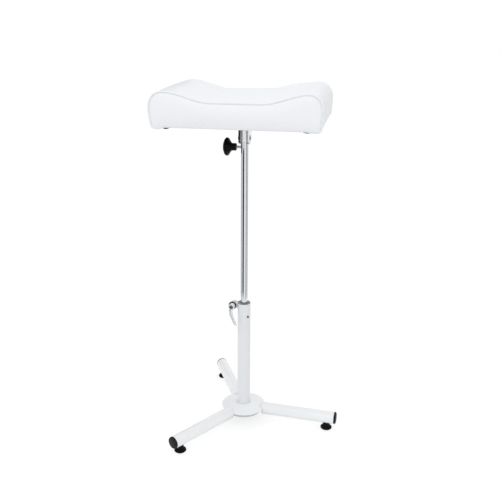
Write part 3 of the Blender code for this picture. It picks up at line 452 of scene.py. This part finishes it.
# %% Outline of the end panels
PAD_WIDTH, PAD_DEPTH = 0.348, 0.236
HUMP_X, HUMP_HEIGHT = 0.1455, 0.0742
TROUGH_FLAT, TROUGH_HEIGHT = 0.051, 0.0545
SHOULDER_HEIGHT = 0.0430
BOTTOM_ROUND, CORNER_TURN = 0.010, 73.0
SIDE_LEAN = 0.0045
HALF = PAD_WIDTH / 2
FLAT_HALF = HALF - SIDE_LEAN - BOTTOM_ROUND * math.sin(math.radians(CORNER_TURN))
CORNER_SPLIT, SHOULDER_SPLIT = 40, 45
CREST_STEPS = 60


def smooth_step(share):
    """0 below 0, 1 above 1, and an even S between."""
    share = min(max(share, 0.0), 1.0)
    return share * share * (3 - 2 * share)


def top_height(x):
    """The height of the trough and of its slopes, out to the humps."""
    rise = smooth_step((abs(x) - TROUGH_FLAT) / (HUMP_X - TROUGH_FLAT))
    return TROUGH_HEIGHT + (HUMP_HEIGHT - TROUGH_HEIGHT) * rise


def turns(start, stop, steps=12):
    """Even steps between two angles in degrees, as radians."""
    return [math.radians(start + (stop - start) * i / steps) for i in range(steps + 1)]


def lower_corner(start, stop):
    return [Vector((FLAT_HALF + BOTTOM_ROUND * math.sin(t), BOTTOM_ROUND * (1 - math.cos(t))))
            for t in turns(start, stop)]


def leaning_side(steps=12):
    low = lower_corner(0, CORNER_TURN)[-1].y
    shares = [i / steps for i in range(1, steps)]
    return [Vector((HALF - SIDE_LEAN * (1 - s) ** 2, low + (SHOULDER_HEIGHT - low) * s))
            for s in shares]


def shoulder(start, stop):
    wide, high = HALF - HUMP_X, HUMP_HEIGHT - SHOULDER_HEIGHT
    return [Vector((HUMP_X + wide * math.cos(t), SHOULDER_HEIGHT + high * math.sin(t)))
            for t in turns(start, stop)]


def both_halves(right_half):
    """A path from left to right, from its right half, which starts in the middle."""
    return [Vector((-p.x, p.y)) for p in reversed(right_half[1:])] + right_half


side_path = lower_corner(CORNER_SPLIT, CORNER_TURN) + leaning_side() + shoulder(0, SHOULDER_SPLIT)
bottom_path = both_halves([Vector((0.0, 0.0))] + lower_corner(0, CORNER_SPLIT))
crest = [HUMP_X * i / CREST_STEPS for i in range(CREST_STEPS)]
top_path = both_halves([Vector((x, top_height(x))) for x in crest] + shoulder(90, SHOULDER_SPLIT))
print("paths of", len(bottom_path), len(side_path), "and", len(top_path), "points")

# %% [markdown]
# ## Points along the seam
# Each path is walked at fixed shares of its length. The steps are about 5 mm, and finer by the
# corners, where the cover dives into the seam. The points of the four paths together are the seam
# ring, listed counter-clockwise as seen from the front. At the lower corners the spare vinyl is
# gathered, so they sag a little below the straight bottom, the left one more. The foam is cut by
# hand and a little uneven: the hump on the right stands about two millimetres higher than the one on
# the left, the trough is cut a few millimetres off the middle, and the right side is fuller below.

# %% Seam ring
def walk(path, shares):
    """Points at these shares of a path's length."""
    lengths = [0.0]
    for start, stop in zip(path, path[1:]):
        lengths.append(lengths[-1] + (stop - start).length)
    spots = []
    for share in shares:
        goal = share * lengths[-1]
        k = next(i for i in range(1, len(path)) if lengths[i] >= goal - 1e-9)
        gap = max(lengths[k] - lengths[k - 1], 1e-12)
        spots.append(path[k - 1].lerp(path[k], (goal - lengths[k - 1]) / gap))
    return spots


def steps_between(count, ends):
    """Shares from 0 to 1 in even steps, with finer ones by both ends."""
    first = ends[-1]
    even = [first + (1 - 2 * first) * i / count for i in range(count + 1)]
    return [0.0, *ends[:-1], *even, *[1 - end for end in reversed(ends[:-1])], 1.0]


ACROSS = steps_between(64, (0.006, 0.013, 0.026))
UP = steps_between(9, (0.030, 0.070, 0.140))
BOARD_MARGIN = 0.018
POCKET_X, POCKET_Y = PAD_WIDTH / 2 - BOARD_MARGIN, PAD_DEPTH / 2 - BOARD_MARGIN
bottom = walk(bottom_path, ACROSS)
for side in (-1, 1):
    nearest = min(bottom, key=lambda p: abs(p.x - side * POCKET_X))
    nearest.x, nearest.y = side * POCKET_X, 0.0
right = walk(side_path, UP)
left = [Vector((-p.x, p.y)) for p in right]
top = walk(top_path, ACROSS)
ring = bottom[:-1] + right[:-1] + top[:0:-1] + left[:0:-1]
COUNT = len(ring)
levels = [p.y for p in ring]
CORNER_FROM, CORNER_WIDE = 0.142, 0.012
LEFT_SAG, RIGHT_SAG, SAG_UP_TO = 2.4 * MM, 0.9 * MM, 0.022
UNEVEN, UNEVEN_BELOW, UNEVEN_FROM = 0.007, 0.4, 0.03
TROUGH_SHIFT = 3.0 * MM
LOW_SIDE, LOW_SIDE_WIDE, LOW_SIDE_UP_TO = 2.6 * MM, 8 * MM, 0.045
corners = [smooth_step((abs(p.x) - CORNER_FROM) / CORNER_WIDE) for p in ring]
for p, corner in zip(ring, corners):
    if abs(p.x) < HUMP_X and p.y > TROUGH_HEIGHT / 2:
        p.y += top_height(p.x - TROUGH_SHIFT) - top_height(p.x)
    sag = RIGHT_SAG if p.x > 0 else LEFT_SAG
    p.y -= sag * corner * (1 - smooth_step(p.y / SAG_UP_TO))
    p.y += UNEVEN * p.x * (UNEVEN_BELOW + (1 - UNEVEN_BELOW) * smooth_step(p.y / UNEVEN_FROM))
    outside = smooth_step((p.x - POCKET_X) / LOW_SIDE_WIDE)
    p.x += LOW_SIDE * outside * (1 - smooth_step(p.y / LOW_SIDE_UP_TO))
print("seam ring:", COUNT, "points")

# %% [markdown]
# ## Cutting the cover
# The cover is one closed skin, as it looks from outside: an end panel at the front, a wrap that goes
# round the pad, and the other end panel. Where they meet, the skin dives under the piping; along the
# bottom there is none, and the skin just rolls under and up a little. Below, the wrap turns in round
# the plywood board, so the skin has a pocket there. The panels start a little flatter than the
# finished pad, because the simulation will fill them out.

# %% Helpers for the cover
EDGE = PAD_DEPTH / 2
SEAM_DIVE, SEAM_WIDE = 1.7 * MM, 3.2 * MM
PANEL_STEP, PANEL_WIDE = 0.3 * MM, 3.0 * MM
ROLL = SEAM_DIVE / (1 - math.sqrt(0.5))
ROLL_FROM, ROLL_WIDE = 0.2 * MM, 3.5 * MM
START_CROWN, CROWN_POWER, CROWN_SKEW = 11.0 * MM, 2.2, 0.55
CROWN_FROM, CROWN_HIGH = 0.02, 0.028
HUMP_EASE, EASE_FROM, EASE_WIDE = 0.60, 0.09, 0.05
START_BULGE, BULGE_WIDE = 3.4 * MM, 24 * MM
POCKET_DEPTH = 13.5 * MM
EDGE_LIFT, EDGE_LIFT_WIDE = 1.5 * MM, 16 * MM


def outward(i):
    """The direction out of the seam ring at its point i."""
    along = (ring[(i + 1) % COUNT] - ring[i - 1]).normalized()
    return Vector((along.y, -along.x))


normals = [outward(i) for i in range(COUNT)]


def inset_ring(amount):
    """The seam ring, moved in by this much."""
    return [p - n * amount for p, n in zip(ring, normals)]


def rolls_under(height):
    """1 along the bottom edge, where the skin rolls under, 0 where a seam holds it."""
    return 1 - smooth_step((height - ROLL_FROM) / ROLL_WIDE)


def wrap_ring(y):
    """The wrap's points at this depth: tucked in by the seams, crowned between them."""
    from_edge = EDGE - abs(y)
    sewn = SEAM_DIVE * (1 - smooth_step((from_edge - SEAM_DIVE) / SEAM_WIDE))
    rolled = ROLL - math.sqrt(ROLL ** 2 - max(ROLL - from_edge, 0.0) ** 2)
    full = 1 - (abs(y) / (EDGE - SEAM_DIVE)) ** CROWN_POWER
    tuck = EDGE_LIFT * (1 - smooth_step((from_edge - SEAM_DIVE) / EDGE_LIFT_WIDE))
    points = []
    for p, n, level, corner in zip(ring, normals, levels, corners):
        under = rolls_under(level)
        spot = p - n * (sewn + (rolled - sewn) * under)
        spot.y += tuck * under * (1 - corner)
        ease = 1 - HUMP_EASE * smooth_step((abs(p.x) - EASE_FROM) / EASE_WIDE)
        skew = 1 + CROWN_SKEW * p.x / HALF
        lift = START_CROWN * skew * ease * full * smooth_step((spot.y - CROWN_FROM) / CROWN_HIGH)
        points.append(Vector((spot.x, y, spot.y + lift)))
    return points


def fill_patch(rim):
    """Quads of points inside the rim, blended from its four sides (a Coons patch)."""
    wide, high = len(ACROSS) - 1, len(UP) - 1
    low = [rim[i] for i in range(wide + 1)]
    east = [rim[wide + j] for j in range(high + 1)]
    upper = [rim[2 * wide + high - i] for i in range(wide + 1)]
    west = [rim[(2 * wide + 2 * high - j) % COUNT] for j in range(high + 1)]
    grid = []
    for j, v in enumerate(UP):
        row = []
        for i, u in enumerate(ACROSS):
            ruled = low[i] * (1 - v) + upper[i] * v + west[j] * (1 - u) + east[j] * u
            bent = low[0] * (1 - u) * (1 - v) + low[-1] * u * (1 - v)
            row.append(ruled - bent - upper[0] * (1 - u) * v - upper[-1] * u * v)
        grid.append(row)
    return grid


def gap_to_rim(p, rim):
    """How far p is from the rim, and the height of the rim's nearest point."""
    best, height = 1.0, 0.0
    for start, stop in zip(rim, rim[1:] + rim[:1]):
        share = intersect_point_line(p, start, stop)[1]
        near = start.lerp(stop, min(max(share, 0.0), 1.0))
        if (p - near).length < best:
            best, height = (p - near).length, near.y
    return best, height


def keep(bm, name, finish):
    """Turns a bmesh into a smooth object with this finish, linked to the scene."""
    mesh = bpy.data.meshes.new(name)
    bm.to_mesh(mesh)
    bm.free()
    for polygon in mesh.polygons:
        polygon.use_smooth = True
    mesh.materials.append(finish)
    piece = bpy.data.objects.new(name, mesh)
    scene.collection.objects.link(piece)
    return piece


print("panel grid:", len(ACROSS), "by", len(UP))

# %% Cut and join the cover
NEAR_SEAM = (SEAM_DIVE, 2.7 * MM, 4.4 * MM, 7.5 * MM)
WRAP_STEPS = 44


def wrap_depths():
    """The wrap's rings from front to rear, closer together by the seams."""
    near = [EDGE - step for step in NEAR_SEAM]
    middle = [POCKET_Y - 2 * POCKET_Y * i / WRAP_STEPS for i in range(WRAP_STEPS + 1)]
    return [-y for y in near] + [-y for y in middle] + list(reversed(near))


PAD_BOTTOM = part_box("cushion_pad")[0][2]
PAD_PLACE = AXIS + Vector((0.0, 0.0, PAD_BOTTOM))

bm = bmesh.new()
rings = [[bm.verts.new(p + PAD_PLACE) for p in wrap_ring(y)] for y in wrap_depths()]
for first, second in zip(rings, rings[1:]):
    for i in range(COUNT):
        bm.faces.new((first[i - 1], second[i - 1], second[i], first[i]))

seam = [Vector((p.x, p.z)) for p in wrap_ring(EDGE - SEAM_DIVE)]
grid = fill_patch(seam)
wide, high = len(ACROSS) - 1, len(UP) - 1
for sign, rim_verts in ((-1, rings[0]), (1, rings[-1])):
    verts = {}
    for j in range(high + 1):
        for i in range(wide + 1):
            on_rim = {0: i, high: 2 * wide + high - i}.get(j)
            on_rim = {0: 2 * wide + 2 * high - j, wide: wide + j}.get(i, on_rim)
            if on_rim is not None:
                verts[i, j] = rim_verts[on_rim % COUNT]
                continue
            p = grid[j][i]
            inside, rim_height = gap_to_rim(p, seam)
            sewn = (SEAM_DIVE + PANEL_STEP) * smooth_step(inside / PANEL_WIDE)
            back = max(ROLL - SEAM_DIVE - inside, 0.0)
            rolled = math.sqrt(ROLL ** 2 - back ** 2) - (ROLL - SEAM_DIVE)
            rise = sewn + (rolled - sewn) * rolls_under(rim_height - SEAM_DIVE)
            rise += START_BULGE * (1 - (1 - min(inside / BULGE_WIDE, 1.0)) ** 2)
            y = sign * (EDGE - SEAM_DIVE + rise)
            verts[i, j] = bm.verts.new(Vector((p.x, y, p.y)) + PAD_PLACE)
    for j in range(high):
        for i in range(wide):
            bm.faces.new((verts[i, j], verts[i + 1, j], verts[i + 1, j + 1], verts[i, j + 1]))
print("cover cut:", len(bm.verts), "points,", len(bm.faces), "faces")

# %% Pocket for the board
def in_pocket(face):
    """Whether a face of the cover lies below the board."""
    spot = face.calc_center_median() - PAD_PLACE
    return abs(spot.x) < POCKET_X and abs(spot.y) < POCKET_Y and spot.z < 1 * MM


pocket_faces = [face for face in bm.faces if in_pocket(face)]
lifted = bmesh.ops.extrude_face_region(bm, geom=pocket_faces)
roof = [v for v in lifted["geom"] if isinstance(v, bmesh.types.BMVert)]
for v in roof:
    v.co.z = PAD_BOTTOM + POCKET_DEPTH
bmesh.ops.delete(bm, geom=[f for f in pocket_faces if f.is_valid], context="FACES")
bmesh.ops.recalc_face_normals(bm, faces=bm.faces)
print("with its pocket:", len(bm.verts), "points,", len(bm.faces), "faces")

# %% [markdown]
# ## Filling the cover
# A pad is foam under stretched vinyl, so its faces swell between the seams. The cloth simulation
# does that: air pressure pushes the skin out, while pinned points stay. The seams, the bottom and
# the pocket are pinned hard. In the trough the cover is glued to the foam, so it is held softly.
# No point may move more than a few millimetres, and the result is kept as a plain mesh.

# %% Pin groups
GLUE, GLUE_FROM, GLUE_WIDE, GLUE_ABOVE = 0.12, 0.05, 0.09, 0.03
BOTTOM_SKIN = 2 * MM
cover = keep(bm, "cushion_cover", vinyl)
cover_mesh = cover.data
held = cover.vertex_groups.new(name="held")
for vertex in cover_mesh.vertices:
    spot = vertex.co - PAD_PLACE
    on_seam = abs(abs(spot.y) - (EDGE - SEAM_DIVE)) < 0.01 * MM
    by_board = (abs(spot.x) <= POCKET_X + MM and abs(spot.y) <= POCKET_Y + MM
                and spot.z < POCKET_DEPTH + MM)
    glued = GLUE * (1 - smooth_step((abs(spot.x) - GLUE_FROM) / GLUE_WIDE))
    loose = glued if spot.z > GLUE_ABOVE else 0.0
    fixed = on_seam or by_board or spot.z < BOTTOM_SKIN
    held.add([vertex.index], 1.0 if fixed else loose, "REPLACE")
print("pinned:", sum(1 for v in cover_mesh.vertices if v.groups[0].weight == 1.0))

# %% Swell the cover
MOST_SWELL = 5.0 * MM
PRESSURE, FRAMES = 4.0, 20
VINYL_CLOTH = {
    "quality": 6, "mass": 0.3, "tension_stiffness": 25.0, "compression_stiffness": 25.0,
    "shear_stiffness": 12.0, "bending_stiffness": 4.0, "use_pressure": True,
    "uniform_pressure_force": PRESSURE, "vertex_group_mass": "held",
}


def swell(piece):
    """Blows the piece up with the cloth simulation and keeps the result as its mesh."""
    before = [v.co.copy() for v in piece.data.vertices]
    cloth = piece.modifiers.new("swell", "CLOTH")
    for name, value in VINYL_CLOTH.items():
        setattr(cloth.settings, name, value)
    cloth.settings.effector_weights.gravity = 0.0
    cloth.collision_settings.use_collision = False
    for number in range(1, FRAMES + 1):
        scene.frame_set(number)
    blown = piece.evaluated_get(bpy.context.evaluated_depsgraph_get())
    after = [v.co.copy() for v in blown.data.vertices]
    piece.modifiers.remove(cloth)
    scene.frame_set(1)
    for vertex, start, stop in zip(piece.data.vertices, before, after):
        move = stop - start
        vertex.co = start + move * min(1.0, MOST_SWELL / max(move.length, 1e-9))
    return max((stop - start).length for start, stop in zip(before, after))


print("furthest swell:", round(swell(cover) / MM, 2), "mm")

# %% Finish the cover
rounder = cover.modifiers.new("rounder", "SUBSURF")
rounder.levels = 1
rounder.render_levels = 1
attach(cover, "cushion")
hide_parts("cushion_pad")
print("cover height:", round(max(v.co.z for v in cover_mesh.vertices) - PAD_BOTTOM, 4))

# %% [markdown]
# ## Piping
# Over each end panel runs a piping: a cord of 3.8 mm in a sleeve of vinyl, sewn between the panel
# and the wrap, from one lower corner up over the humps to the other. A curve with a round bevel is
# the simplest way to it, since the seam ring already gives its path. Its ends dive under the pad.

# %% Piping
PIPING_RADIUS = 1.9 * MM
PIPING_INSET = 0.8 * MM
END_DIVE, END_STEPS = 1.6 * MM, 3
on_flat = [i for i in range(COUNT) if levels[i] < 0.4 * MM]
cord_points = [*range(on_flat[-1] + 1, COUNT), *range(on_flat[0])]
cord_ring = inset_ring(PIPING_INSET)
for name, sign in (("front", -1), ("rear", 1)):
    curve = bpy.data.curves.new(f"piping_sewn_{name}", "CURVE")
    curve.dimensions = "3D"
    curve.bevel_depth = PIPING_RADIUS
    curve.bevel_resolution = 3
    curve.use_fill_caps = True
    spline = curve.splines.new("POLY")
    spline.points.add(len(cord_points) - 1)
    for order, (knot, i) in enumerate(zip(spline.points, cord_points)):
        from_end = min(order, len(cord_points) - 1 - order)
        dive = END_DIVE * max(1 - from_end / END_STEPS, 0.0)
        p = cord_ring[i] - normals[i] * dive
        y = sign * (EDGE - PIPING_INSET - dive)
        knot.co = (*(Vector((p.x, y, p.y)) + PAD_PLACE), 1.0)
    piping = bpy.data.objects.new(f"piping_sewn_{name}", curve)
    curve.materials.append(piping_vinyl)
    scene.collection.objects.link(piping)
    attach(piping, "cushion")
    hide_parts(f"piping_{name}")
print("piping over both panels,", len(cord_points), "points each")

# %% [markdown]
# ## Dust cloth
# A thin black cloth closes the pad from below, stapled to the board. It is one sheet, pulled tight
# at the staples and slack between them, so its edge runs in small waves. It could be simulated, but
# the waves are known from the staples' spacing, so a grid with computed heights does the same.

# %% Dust cloth
CLOTH_X, CLOTH_Y = POCKET_X - 0.6 * MM, POCKET_Y - 0.6 * MM
STAPLE_PITCH = 26 * MM
CLOTH_Z, CLOTH_THICK = 0.55 * MM, 0.3 * MM
COLUMNS, ROWS = 84, 58
PLATE_X, PLATE_Y = 0.040, 0.035
WAVE_DEEP, WAVE_INSET, WAVE_WIDE = 0.55 * MM, 7 * MM, 6 * MM
SLACK_DEEP, SLACK_FROM_EDGE, SLACK_FROM_PLATE = 0.9 * MM, 30 * MM, 25 * MM


def cloth_height(x, y):
    """The cloth hangs a little between the plate and its stapled edge, and waves along the edge."""
    from_edge = min(CLOTH_X - abs(x), CLOTH_Y - abs(y))
    along = x if CLOTH_Y - abs(y) < CLOTH_X - abs(x) else y
    wave = 0.5 - 0.5 * math.cos(2 * math.pi * along / STAPLE_PITCH)
    edge = math.exp(-((from_edge - WAVE_INSET) / WAVE_WIDE) ** 2)
    from_plate = max(abs(x) - PLATE_X, abs(y) - PLATE_Y, 0.0)
    slack = smooth_step(from_edge / SLACK_FROM_EDGE) * smooth_step(from_plate / SLACK_FROM_PLATE)
    return CLOTH_Z - SLACK_DEEP * slack - WAVE_DEEP * edge * wave


bm = bmesh.new()
points = {}
for j in range(ROWS + 1):
    for i in range(COLUMNS + 1):
        x, y = -CLOTH_X + 2 * CLOTH_X * i / COLUMNS, -CLOTH_Y + 2 * CLOTH_Y * j / ROWS
        points[i, j] = bm.verts.new(Vector((x, y, cloth_height(x, y))) + PAD_PLACE)
for j in range(ROWS):
    for i in range(COLUMNS):
        bm.faces.new((points[i, j], points[i, j + 1], points[i + 1, j + 1], points[i + 1, j]))
dust_cloth = keep(bm, "dust_cloth", spunbond)
dust_cloth.modifiers.new("thick", "SOLIDIFY").thickness = CLOTH_THICK
print("dust cloth:", round(2 * CLOTH_X, 4), "by", round(2 * CLOTH_Y, 4), "m")

# %% [markdown]
# ## Pleats and staples
# At the four corners the spare cloth is folded into a pleat that stands a few millimetres down. Its
# black cloth is painted shade: it shows as a dark lip below the front edge, where there is only the
# shadow under the pad's corners. The pleats on the left are shorter and deeper than those on the
# right. Staples of 10 mm hold the edge, at every crest of the waves. Each is a wire bent twice, drawn
# as a short bar whose ends sink in.

# %% Pleats of black cloth, as painted shade
SHADE_PLEATS = {-1: (0.1445, 19 * MM, 4.5 * MM), 1: (0.1435, 22 * MM, 3.0 * MM)}
PLEAT_INSET, PLEAT_LEAN, PLEAT_THICK = 2.2 * MM, 0.8 * MM, 0.8 * MM
PLEAT_STEPS, PLEAT_LEVELS = 12, 4
bm = bmesh.new()
for side, (middle_x, long, deep) in SHADE_PLEATS.items():
    for end in (-1, 1):
        rows_down = []
        for level in range(PLEAT_LEVELS + 1):
            lean = PLEAT_LEAN * math.sin(math.pi * level / PLEAT_LEVELS)
            y = end * (CLOTH_Y - PLEAT_INSET + lean)
            row = []
            for i in range(PLEAT_STEPS + 1):
                share = i / PLEAT_STEPS
                drop = deep * math.sin(math.pi * share) ** 0.6 * level / PLEAT_LEVELS
                x = side * (middle_x + long * (share - 0.5))
                row.append(bm.verts.new(Vector((x, y, CLOTH_Z - drop)) + PAD_PLACE))
            rows_down.append(row)
        for upper_row, lower_row in zip(rows_down, rows_down[1:]):
            for i in range(PLEAT_STEPS):
                bm.faces.new((upper_row[i], upper_row[i + 1], lower_row[i + 1], lower_row[i]))
bmesh.ops.remove_doubles(bm, verts=bm.verts, dist=0.01 * MM)
bmesh.ops.recalc_face_normals(bm, faces=bm.faces)
# black pleats as painted shade: a dark lip below the pad's front edge
shade_pleats = keep(bm, "dust_cloth_shade_pleats", spunbond)
folded = shade_pleats.modifiers.new("folded", "SOLIDIFY")
folded.thickness = PLEAT_THICK
folded.offset = 0.0
print("pleats at both ends, long in mm:", [round(long / MM) for _, long, _ in SHADE_PLEATS.values()])

# %% Staples
STAPLE_LONG, STAPLE_WIRE, STAPLE_INSET = 10 * MM, 0.55 * MM, 5 * MM
STAPLE_PROUD, STAPLE_SINK, SINK_FROM = 0.75 * MM, 0.9 * MM, 0.8
STAPLES_ACROSS, STAPLES_DEEP = 5, 3
STAPLE_STEPS, WIRE_SIDES = 8, 8


def staple_spots():
    """Middle and direction of each staple, along the cloth's four edges."""
    spots = []
    for k in range(-STAPLES_ACROSS, STAPLES_ACROSS + 1):
        for end in (-1, 1):
            spots.append((k * STAPLE_PITCH, end * (CLOTH_Y - STAPLE_INSET), 0.0))
    for k in range(-STAPLES_DEEP, STAPLES_DEEP + 1):
        for side in (-1, 1):
            spots.append((side * (CLOTH_X - STAPLE_INSET), k * STAPLE_PITCH, math.pi / 2))
    return spots


bm = bmesh.new()
for x, y, heading in staple_spots():
    outline = []
    for i in range(STAPLE_STEPS + 1):
        share = i / STAPLE_STEPS * 2 - 1
        sink = STAPLE_SINK * max(abs(share) - SINK_FROM, 0.0) / (1 - SINK_FROM)
        outline.append((share * STAPLE_LONG / 2, CLOTH_Z - STAPLE_PROUD + sink))
    loops = []
    for along, z in outline:
        loop = []
        for k in range(WIRE_SIDES):
            spin = 2 * math.pi / WIRE_SIDES * k
            across, out = STAPLE_WIRE * math.cos(spin), 0.5 * STAPLE_WIRE * math.sin(spin)
            local = Matrix.Rotation(heading, 3, "Z") @ Vector((along, across, z + out))
            loop.append(bm.verts.new(local + Vector((x, y, 0.0)) + PAD_PLACE))
        loops.append(loop)
    for first, second in zip(loops, loops[1:]):
        for k in range(WIRE_SIDES):
            bm.faces.new((first[k - 1], first[k], second[k], second[k - 1]))
    bm.faces.new(loops[0])
    bm.faces.new(list(reversed(loops[-1])))
bmesh.ops.recalc_face_normals(bm, faces=bm.faces)
staples = keep(bm, "dust_cloth_staples", metal_finish["zinc_plated_steel_passivated"])
for piece, slot in ((dust_cloth, "black_cloth"), (shade_pleats, "black_cloth"), (staples, "plated_steel")):
    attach(piece, "cushion")
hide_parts("dust_cover")
print("staples:", len(staple_spots()))

# %% [markdown]
# ## Floor, world and light
# The footrest stands on plain white. The floor is a sheet of white paper on a greyer studio floor: it
# lights the stand from below, and the pad much less. For camera and mirror rays the floor glows, so
# that it meets the white world without a horizon and keeps only a faint shadow. Light comes evenly
# from the world, and a large soft lamp in front gives it a direction.

# %% Floor and world
AMBIENT, FLOOR_GLOW, FLOOR_HALF = 0.93, 0.70, 6.0


def seen_directly(tree):
    """1 for camera, mirror and glass rays, 0 for the rays that light the scene."""
    ray = add(tree, "ShaderNodeLightPath").outputs
    seen = ray["Is Camera Ray"]
    for kind in ("Is Glossy Ray", "Is Transmission Ray"):
        seen = add(tree, "ShaderNodeMath", {0: seen, 1: ray[kind]}, operation="MAXIMUM").outputs[0]
    return seen


floor_white, tree, place = start_finish("studio_floor_white")
SWEEP_NEAR, SWEEP_FAR = 0.45, 1.10
reach = add(tree, "ShaderNodeVectorMath", {0: place}, operation="LENGTH")
fade = share_between(tree, reach.outputs["Value"], SWEEP_NEAR, SWEEP_FAR)
paper = blend(tree, fade, linear("F6F6F6"), linear("DCDCDC"))
matt = add(tree, "ShaderNodeBsdfDiffuse", {"Color": paper})
pale = add(tree, "ShaderNodeBsdfDiffuse", {"Color": linear("A0A0A0")})
glow = add(tree, "ShaderNodeEmission", {"Color": linear("FFFFFF"), "Strength": FLOOR_GLOW})
lit = add(tree, "ShaderNodeAddShader", {0: pale.outputs[0], 1: glow.outputs[0]})
mixed = add(tree, "ShaderNodeMixShader", {
    0: seen_directly(tree), 1: matt.outputs[0], 2: lit.outputs[0]})
add(tree, "ShaderNodeOutputMaterial", {"Surface": mixed.outputs[0]})

bm = bmesh.new()
bmesh.ops.create_grid(bm, x_segments=1, y_segments=1, size=FLOOR_HALF)
floor = keep(bm, "floor", floor_white)

world = bpy.data.worlds.new("white_studio")
scene.world = world
world.use_nodes = True
world.node_tree.nodes.clear()
tree = world.node_tree
level = add(tree, "ShaderNodeMix", {0: seen_directly(tree), 2: AMBIENT, 3: 1.0})
sky = add(tree, "ShaderNodeBackground", {"Color": linear("FFFFFF"), "Strength": level.outputs[0]})
add(tree, "ShaderNodeOutputWorld", {"Surface": sky.outputs[0]})
print("ambient light:", AMBIENT)

# %% Lamp
KEY_PLACE, KEY_AIM = Vector((0.0, -2.6, 2.2)), Vector((0.0, 0.0, 0.5))
KEY_WIDE, KEY_WATTS = 1.6, 12.0
key_data = bpy.data.lights.new("soft_key", "AREA")
key_data.shape = "DISK"
key_data.size = KEY_WIDE
key_data.energy = KEY_WATTS
key = bpy.data.objects.new("soft_key", key_data)
key.location = KEY_PLACE
key.rotation_euler = (KEY_AIM - KEY_PLACE).to_track_quat("-Z", "Y").to_euler()
scene.collection.objects.link(key)
print("lamp:", KEY_WATTS, "W at", round((KEY_PLACE - KEY_AIM).length, 2), "m")

# %% [markdown]
# ## Dark cards for the chrome
# In an all-white room chrome looks like white plastic. Photographers stand black and grey cards round
# it, just out of view, and each shows as a dark streak along the post. These cards are seen by mirror
# rays only: they cast no shadow and take no light from the white pieces. They stand all round, so
# that the post has its streaks from every side. Each row gives a card's direction from the post in
# degrees, its distance, its width and the heights of its two edges in metres, and its tone.

# %% Dark cards
CARDS = [
    (-117.0, 0.75, 0.60, 0.0, 0.51, "060607"),
    (-103.3, 0.36, 0.036, 0.57, 0.67, "060607"),
    (-22.0, 0.75, 0.24, 0.0, 1.1, "54575A"),
    (28.0, 0.75, 0.20, 0.0, 1.1, "1A1B1C"),
    (128.0, 0.75, 0.38, 0.0, 1.1, "101112"),
    (-172.0, 0.75, 0.24, 0.0, 1.1, "5A5D60"),
]
for number, (azimuth, far, card_wide, lower, upper, tone) in enumerate(CARDS, start=1):
    card_finish, tree, _ = start_finish(f"studio_card_{number}")
    dull = add(tree, "ShaderNodeBsdfDiffuse", {"Color": linear(tone)})
    add(tree, "ShaderNodeOutputMaterial", {"Surface": dull.outputs[0]})
    turn = math.radians(azimuth)
    middle = AXIS + Vector((math.cos(turn), math.sin(turn), 0.0)) * far
    aside = Vector((-math.sin(turn), math.cos(turn), 0.0)) * card_wide / 2
    outline = [middle - aside, middle + aside, middle + aside, middle - aside]
    for spot, height in zip(outline, (lower, lower, upper, upper)):
        spot.z = height
    card_mesh = bpy.data.meshes.new(f"card_{number}")
    card_mesh.from_pydata(outline, [], [(0, 1, 2, 3)])
    card_mesh.materials.append(card_finish)
    card = bpy.data.objects.new(f"card_{number}", card_mesh)
    card.visible_camera = False
    card.visible_diffuse = False
    card.visible_shadow = False
    scene.collection.objects.link(card)
print("cards:", len(CARDS))
